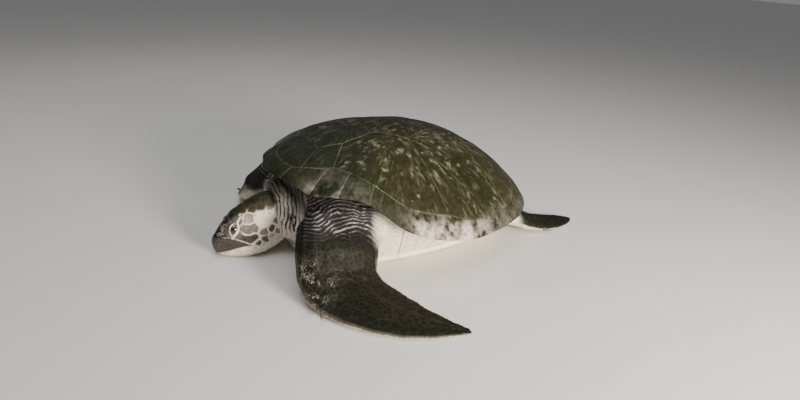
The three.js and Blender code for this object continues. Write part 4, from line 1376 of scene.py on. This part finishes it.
def build_eyes(material):
    down = np.linspace(0, np.pi, EYE_RINGS + 2)[1:-1, None]
    turn = np.linspace(0, 2 * np.pi, EYE_SIDES, endpoint=False)[None]
    radius = EYE_RADIUS + CORNEA * peak(down, 0.52)
    angle = np.concatenate([np.repeat(down.ravel(), EYE_SIDES), [0, np.pi]])
    ray = np.concatenate([np.tile(np.sin(turn * 23).ravel(), EYE_RINGS), [0, 0]])
    tone = blend(PUPIL, IRIS, ramp(angle, 0.26, 0.32) * (0.8 + 0.2 * ray))
    tone = blend(tone, EYE_WHITE, ramp(angle, 0.66, 0.74))
    for name, side in SIDES:
        centre, axis, long, short = eye_frame(side)
        ball = (
            axis * (radius * np.cos(down) * np.ones_like(turn))[..., None]
            + long * (radius * np.sin(down) * np.cos(turn))[..., None]
            + short * (radius * np.sin(down) * np.sin(turn))[..., None]
        ).reshape(-1, 3)
        front, rear = axis * (EYE_RADIUS + CORNEA), -axis * EYE_RADIUS
        points = head_to_shell(np.concatenate([ball, [front, rear]]) + centre)
        faces = capped_tube(EYE_RINGS, EYE_SIDES)
        piece(f"eye_{name}_ball", points, faces, {"tone": tone}, material, [f"eye_{name}"])


def claw_line(node):
    """The base and tip of a claw's CAD node; the base is its wider end."""
    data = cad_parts[node].data
    place = (np.array([v.co for v in data.vertices]) - SHELL_CENTRE) / MM
    middle = place.mean(axis=0)
    line = np.linalg.svd(place - middle)[2][0]
    along = (place - middle) @ line
    spread = np.linalg.norm(place - middle - along[:, None] * line, axis=1)
    if spread[along > 0].max() > spread[along < 0].max():
        line, along = -line, -along
    return middle + line * along.min(), middle + line * along.max(), line


def build_claw(node, material):
    base, tip, line = claw_line(node)
    side_way = unit(np.cross(line, (0, 0, 1)))
    up = np.cross(side_way, line)
    t = np.linspace(0, 1, CLAW_RINGS)[:, None]
    turn = np.linspace(0, 2 * np.pi, CLAW_SIDES, endpoint=False)[None]
    radius = CLAW_RADIUS * (1 - t ** 1.7) ** 0.8 * (1 + 0.03 * np.sin(t * 40))
    points = base + (tip - base) * t[..., None] + up * (1.6 * np.sin(np.pi * t) - 0.4)[..., None]
    points = points + side_way * (radius * 0.8 * np.cos(turn))[..., None]
    points = points + up * (radius * np.sin(turn))[..., None]
    points = np.concatenate([points.reshape(-1, 3), [base, tip]])
    points[:, 2] = np.maximum(points[:, 2], 0.2)
    tone = blend(*CLAW_TONES, 0.5 + 0.5 * noise(points, 4, 90))
    faces = capped_tube(CLAW_RINGS, CLAW_SIDES)
    piece(f"{node}_horn", points, faces, {"tone": tone}, material, [node])


def build_claws(material):
    for pair in ("front", "hind"):
        for side in ("left", "right"):
            build_claw(f"{pair}_claw_{side}", material)


# ---- materials -----------------------------------------------------------------------

class Nodes:
    """A material's node tree, built one node at a time."""

    def __init__(self, name, roughness, **settings):
        self.material = bpy.data.materials.new(name)
        self.material.use_nodes = True
        self.tree = self.material.node_tree
        self.shader = self.tree.nodes["Principled BSDF"]
        self.shader.inputs["Roughness"].default_value = roughness
        for key, value in settings.items():
            self.shader.inputs[key.replace("_", " ")].default_value = value

    def add(self, kind, inputs=None, **settings):
        node = self.tree.nodes.new(kind)
        for key, value in settings.items():
            setattr(node, key, value)
        for key, value in (inputs or {}).items():
            if isinstance(value, bpy.types.NodeSocket):
                self.tree.links.new(value, node.inputs[key])
            else:
                node.inputs[key].default_value = value
        return node

    def attribute(self, name):
        return self.add("ShaderNodeAttribute", attribute_name=name)

    def tone(self):
        return self.attribute("tone").outputs["Color"]

    def number(self, name):
        return self.attribute(name).outputs["Fac"]

    def parts(self, name):
        """The three numbers of a vector attribute."""
        vector = self.attribute(name).outputs["Vector"]
        return self.add("ShaderNodeSeparateXYZ", {0: vector}).outputs

    def math(self, operation, *values):
        return self.add("ShaderNodeMath", dict(enumerate(values)), operation=operation).outputs[0]

    def times(self, a, b):
        return self.math("MULTIPLY", a, b)

    def range(self, value, low, high, start=0.0, end=1.0):
        """The value's run from low to high, smoothly spread from start to end."""
        inputs = {0: value, 1: low, 2: high, 3: start, 4: end}
        return self.add("ShaderNodeMapRange", inputs, interpolation_type="SMOOTHSTEP").outputs[0]

    def noise(self, scale, detail, vector=None, roughness=0.55):
        inputs = {"Scale": scale, "Detail": detail, "Roughness": roughness}
        inputs["Vector"] = vector or self.place()
        return self.add("ShaderNodeTexNoise", inputs).outputs[0]

    def cells(self, scale):
        """Distance in from the edges of a mosaic's cells."""
        inputs = {"Scale": scale, "Vector": self.place()}
        return self.add("ShaderNodeTexVoronoi", inputs, feature="DISTANCE_TO_EDGE").outputs[0]

    def place(self):
        return self.add("ShaderNodeTexCoord").outputs["Object"]

    def mix(self, factor, a, b):
        a, b = ((*colour, 1) if isinstance(colour, tuple) else colour for colour in (a, b))
        inputs = {0: factor, 6: a, 7: b}
        return self.add("ShaderNodeMix", inputs, data_type="RGBA", clamp_factor=True).outputs[2]

    def scaled(self, colour, amount):
        """The colour made lighter or darker by amount."""
        vector = self.add("ShaderNodeVectorMath", {0: colour, "Scale": amount}, operation="SCALE")
        return vector.outputs[0]

    def bump(self, height, distance, strength, below=None):
        inputs = {"Height": height, "Distance": distance, "Strength": strength}
        if below:
            inputs["Normal"] = below
        return self.add("ShaderNodeBump", inputs).outputs[0]

    def finish(self, colour, normal, roughness=None):
        self.tree.links.new(colour, self.shader.inputs["Base Color"])
        self.tree.links.new(normal, self.shader.inputs["Normal"])
        if roughness:
            self.tree.links.new(roughness, self.shader.inputs["Roughness"])
        return self.material


def shell_streaks(n, local, strength):
    """Pale and dark rays that fan out from where each plate began to grow."""
    angle = n.math("ARCTAN2", local[1], local[0])
    spot = n.add("ShaderNodeCombineXYZ", {0: local[0], 1: local[1]}).outputs[0]
    reach = n.add("ShaderNodeVectorMath", {0: spot}, operation="LENGTH").outputs["Value"]
    wander = n.noise(16, 2)

    def fan(count, stretch):
        turned = n.math("ADD", n.times(angle, count), n.times(wander, 1.6))
        run = n.times(reach, stretch)
        return n.add("ShaderNodeCombineXYZ", {0: turned, 1: run, 2: local[2]}).outputs[0]

    breaks = n.range(n.noise(22, 3), 0.36, 0.60)
    strong = n.range(n.noise(1.0, 3.0, fan(8.0, 0.02)), 0.52, 0.64)
    strong = n.times(strong, n.range(reach, 230, 120))
    faint = n.range(n.noise(1.0, 2.5, fan(21.0, 0.016)), 0.50, 0.68)
    ray = n.math("MAXIMUM", strong, n.times(faint, 0.5))
    ray = n.times(n.times(ray, breaks), n.range(reach, 8, 30))
    ray = n.times(ray, strength)
    dark = n.range(n.noise(1.4, 2.0, fan(9.0, 0.012)), 0.56, 0.70)
    return ray, n.times(dark, n.times(strength, 0.5))


def carapace_material():
    n = Nodes("carapace_horn", 0.55, Specular_IOR_Level=0.12)
    tone = n.tone()
    local, masks = n.parts("areola"), n.parts("masks")
    ray, dark = shell_streaks(n, local, masks[0])
    blotch = n.range(n.noise(30, 4), 0.58, 0.70)
    blotch = n.times(blotch, masks[1])
    mottle = n.range(n.noise(95, 5), 0.3, 0.75, 0.72, 1.32)
    colour = n.scaled(tone, mottle)
    colour = n.mix(dark, colour, DARK_RAY)
    colour = n.mix(n.times(ray, 0.75), colour, STREAK)
    colour = n.mix(n.times(blotch, 0.7), colour, STREAK)
    pits = n.bump(n.noise(420, 4), 0.0006, 0.35)
    normal = n.bump(n.noise(75, 4), 0.003, 0.3, pits)
    rough = n.range(n.noise(28, 3), 0.3, 0.7, 0.42, 0.62)
    rough = n.math("ADD", rough, n.times(masks[2], 0.2))
    return n.finish(colour, normal, rough)


def plastron_material():
    n = Nodes("plastron_horn", 0.5)
    tone = n.tone()
    colour = n.scaled(tone, n.range(n.noise(60, 5), 0.25, 0.75, 0.86, 1.1))
    stain = n.range(n.noise(14, 5), 0.55, 0.78)
    colour = n.mix(n.times(stain, 0.3), colour, STAIN)
    normal = n.bump(n.noise(260, 4), 0.0006, 0.4)
    return n.finish(colour, n.bump(n.noise(40, 3), 0.003, 0.3, normal))


def skin_material():
    n = Nodes("skin", 0.6, Specular_IOR_Level=0.08)
    tone, pebbled, sand = n.tone(), n.number("pebbled"), n.number("sand")
    pebble = n.range(n.cells(230), 0.0, 0.2)
    mottle = n.range(n.noise(110, 5), 0.3, 0.75, 0.84, 1.18)
    colour = n.scaled(tone, mottle)
    grain = n.range(n.noise(330, 5, roughness=0.7), 0.53, 0.62)
    colour = n.mix(n.times(grain, sand), colour, SAND)
    normal = n.bump(n.times(pebble, pebbled), 0.0008, 0.5)
    normal = n.bump(n.noise(330, 4), 0.0006, 0.4, normal)
    return n.finish(colour, normal, n.range(n.noise(40, 3), 0.3, 0.7, 0.45, 0.68))


def beak_material():
    n = Nodes("beak_horn", 0.4)
    streaks = n.add("ShaderNodeMapping", {"Vector": n.place(), "Scale": (1.0, 1.0, 0.3)}).outputs[0]
    shade = n.range(n.noise(260, 4, streaks), 0.3, 0.72, 0.62, 1.35)
    colour = n.scaled(n.tone(), shade)
    speck = n.range(n.noise(480, 3), 0.60, 0.68)
    colour = n.mix(n.times(speck, 0.5), colour, BEAK_SPECK)
    return n.finish(colour, n.bump(n.noise(300, 4, streaks), 0.0007, 0.5))


def eye_material():
    n = Nodes("eye_ball", 0.06, Coat_Weight=0.8, Coat_Roughness=0.03)
    shade = n.range(n.noise(420, 4), 0.3, 0.7, 0.7, 1.3)
    colour = n.scaled(n.tone(), shade)
    return n.finish(colour, n.bump(n.noise(200, 2), 0.0002, 0.05))


def claw_material():
    n = Nodes("claw_horn", 0.35)
    shade = n.range(n.noise(350, 4), 0.3, 0.7, 0.6, 1.4)
    colour = n.scaled(n.tone(), shade)
    return n.finish(colour, n.bump(n.noise(420, 3), 0.0005, 0.4))


# ---- stage, light and camera ---------------------------------------------------------

def build_floor():
    mesh = bpy.data.meshes.new("floor")
    mesh.from_pydata([(-30, -30, 0), (30, -30, 0), (30, 30, 0), (-30, 30, 0)], [], [(0, 1, 2, 3)])
    floor = add_object("floor", mesh)
    n = Nodes("pale_floor", 0.85)
    colour = n.mix(n.noise(3, 2), *FLOOR_TONES)
    mesh.materials.append(n.finish(colour, n.bump(n.noise(60, 3), 0.0004, 0.2)))


def area_light(name, place, aim, size, power, colour):
    data = bpy.data.lights.new(name, "AREA")
    data.shape = "DISK"
    data.size = size
    data.energy = power
    data.color = colour
    lamp = add_object(name, data)
    lamp.location = place
    lamp.rotation_euler = (Vector(aim) - Vector(place)).to_track_quat("-Z", "Y").to_euler()


def build_lights():
    area_light("key_light", (3.1, 0.6, 0.85), (0, 0, 0.15), 1.1, 250, (1.0, 0.95, 0.88))
    area_light("top_light", (0.4, -0.6, 3.2), (0, 0, 0.15), 2.6, 60, (0.95, 0.97, 1.0))
    area_light("far_light", (-2.8, -0.8, 2.4), (0, 0, 0.2), 2.4, 8, (0.95, 0.97, 1.0))
    world = bpy.data.worlds.new("studio")
    world.use_nodes = True
    background = world.node_tree.nodes["Background"]
    background.inputs["Color"].default_value = (0.88, 0.90, 0.95, 1)
    background.inputs["Strength"].default_value = 0.24
    bpy.context.scene.world = world


def build_camera():
    yaw, pitch, roll = (math.radians(a) for a in (CAMERA_YAW, CAMERA_PITCH, CAMERA_ROLL))
    flat = math.cos(pitch)
    ahead = Vector((math.sin(yaw) * flat, math.cos(yaw) * flat, -math.sin(pitch)))
    level = Vector((math.cos(yaw), -math.sin(yaw), 0))
    upright = level.cross(ahead)
    right = level * math.cos(roll) + upright * math.sin(roll)
    up = upright * math.cos(roll) - level * math.sin(roll)
    data = bpy.data.cameras.new("camera")
    data.lens = CAMERA_LENS
    data.sensor_width = 36
    camera = add_object("camera", data)
    turn = Matrix((right, up, -ahead)).transposed().to_4x4()
    place = Vector(CAMERA_PLACE) * MM + Vector(SHELL_CENTRE)
    camera.matrix_world = Matrix.Translation(place) @ turn
    bpy.context.scene.camera = camera


build_carapace(carapace_material())
plastron_horn = plastron_material()
build_plastron(plastron_horn)
build_bridges(plastron_horn)
the_head = head_surface()
build_skin(skin_material(), the_head)
build_beak(the_head, beak_material())
build_eyes(eye_material())
build_claws(claw_material())
build_floor()
build_lights()
build_camera()
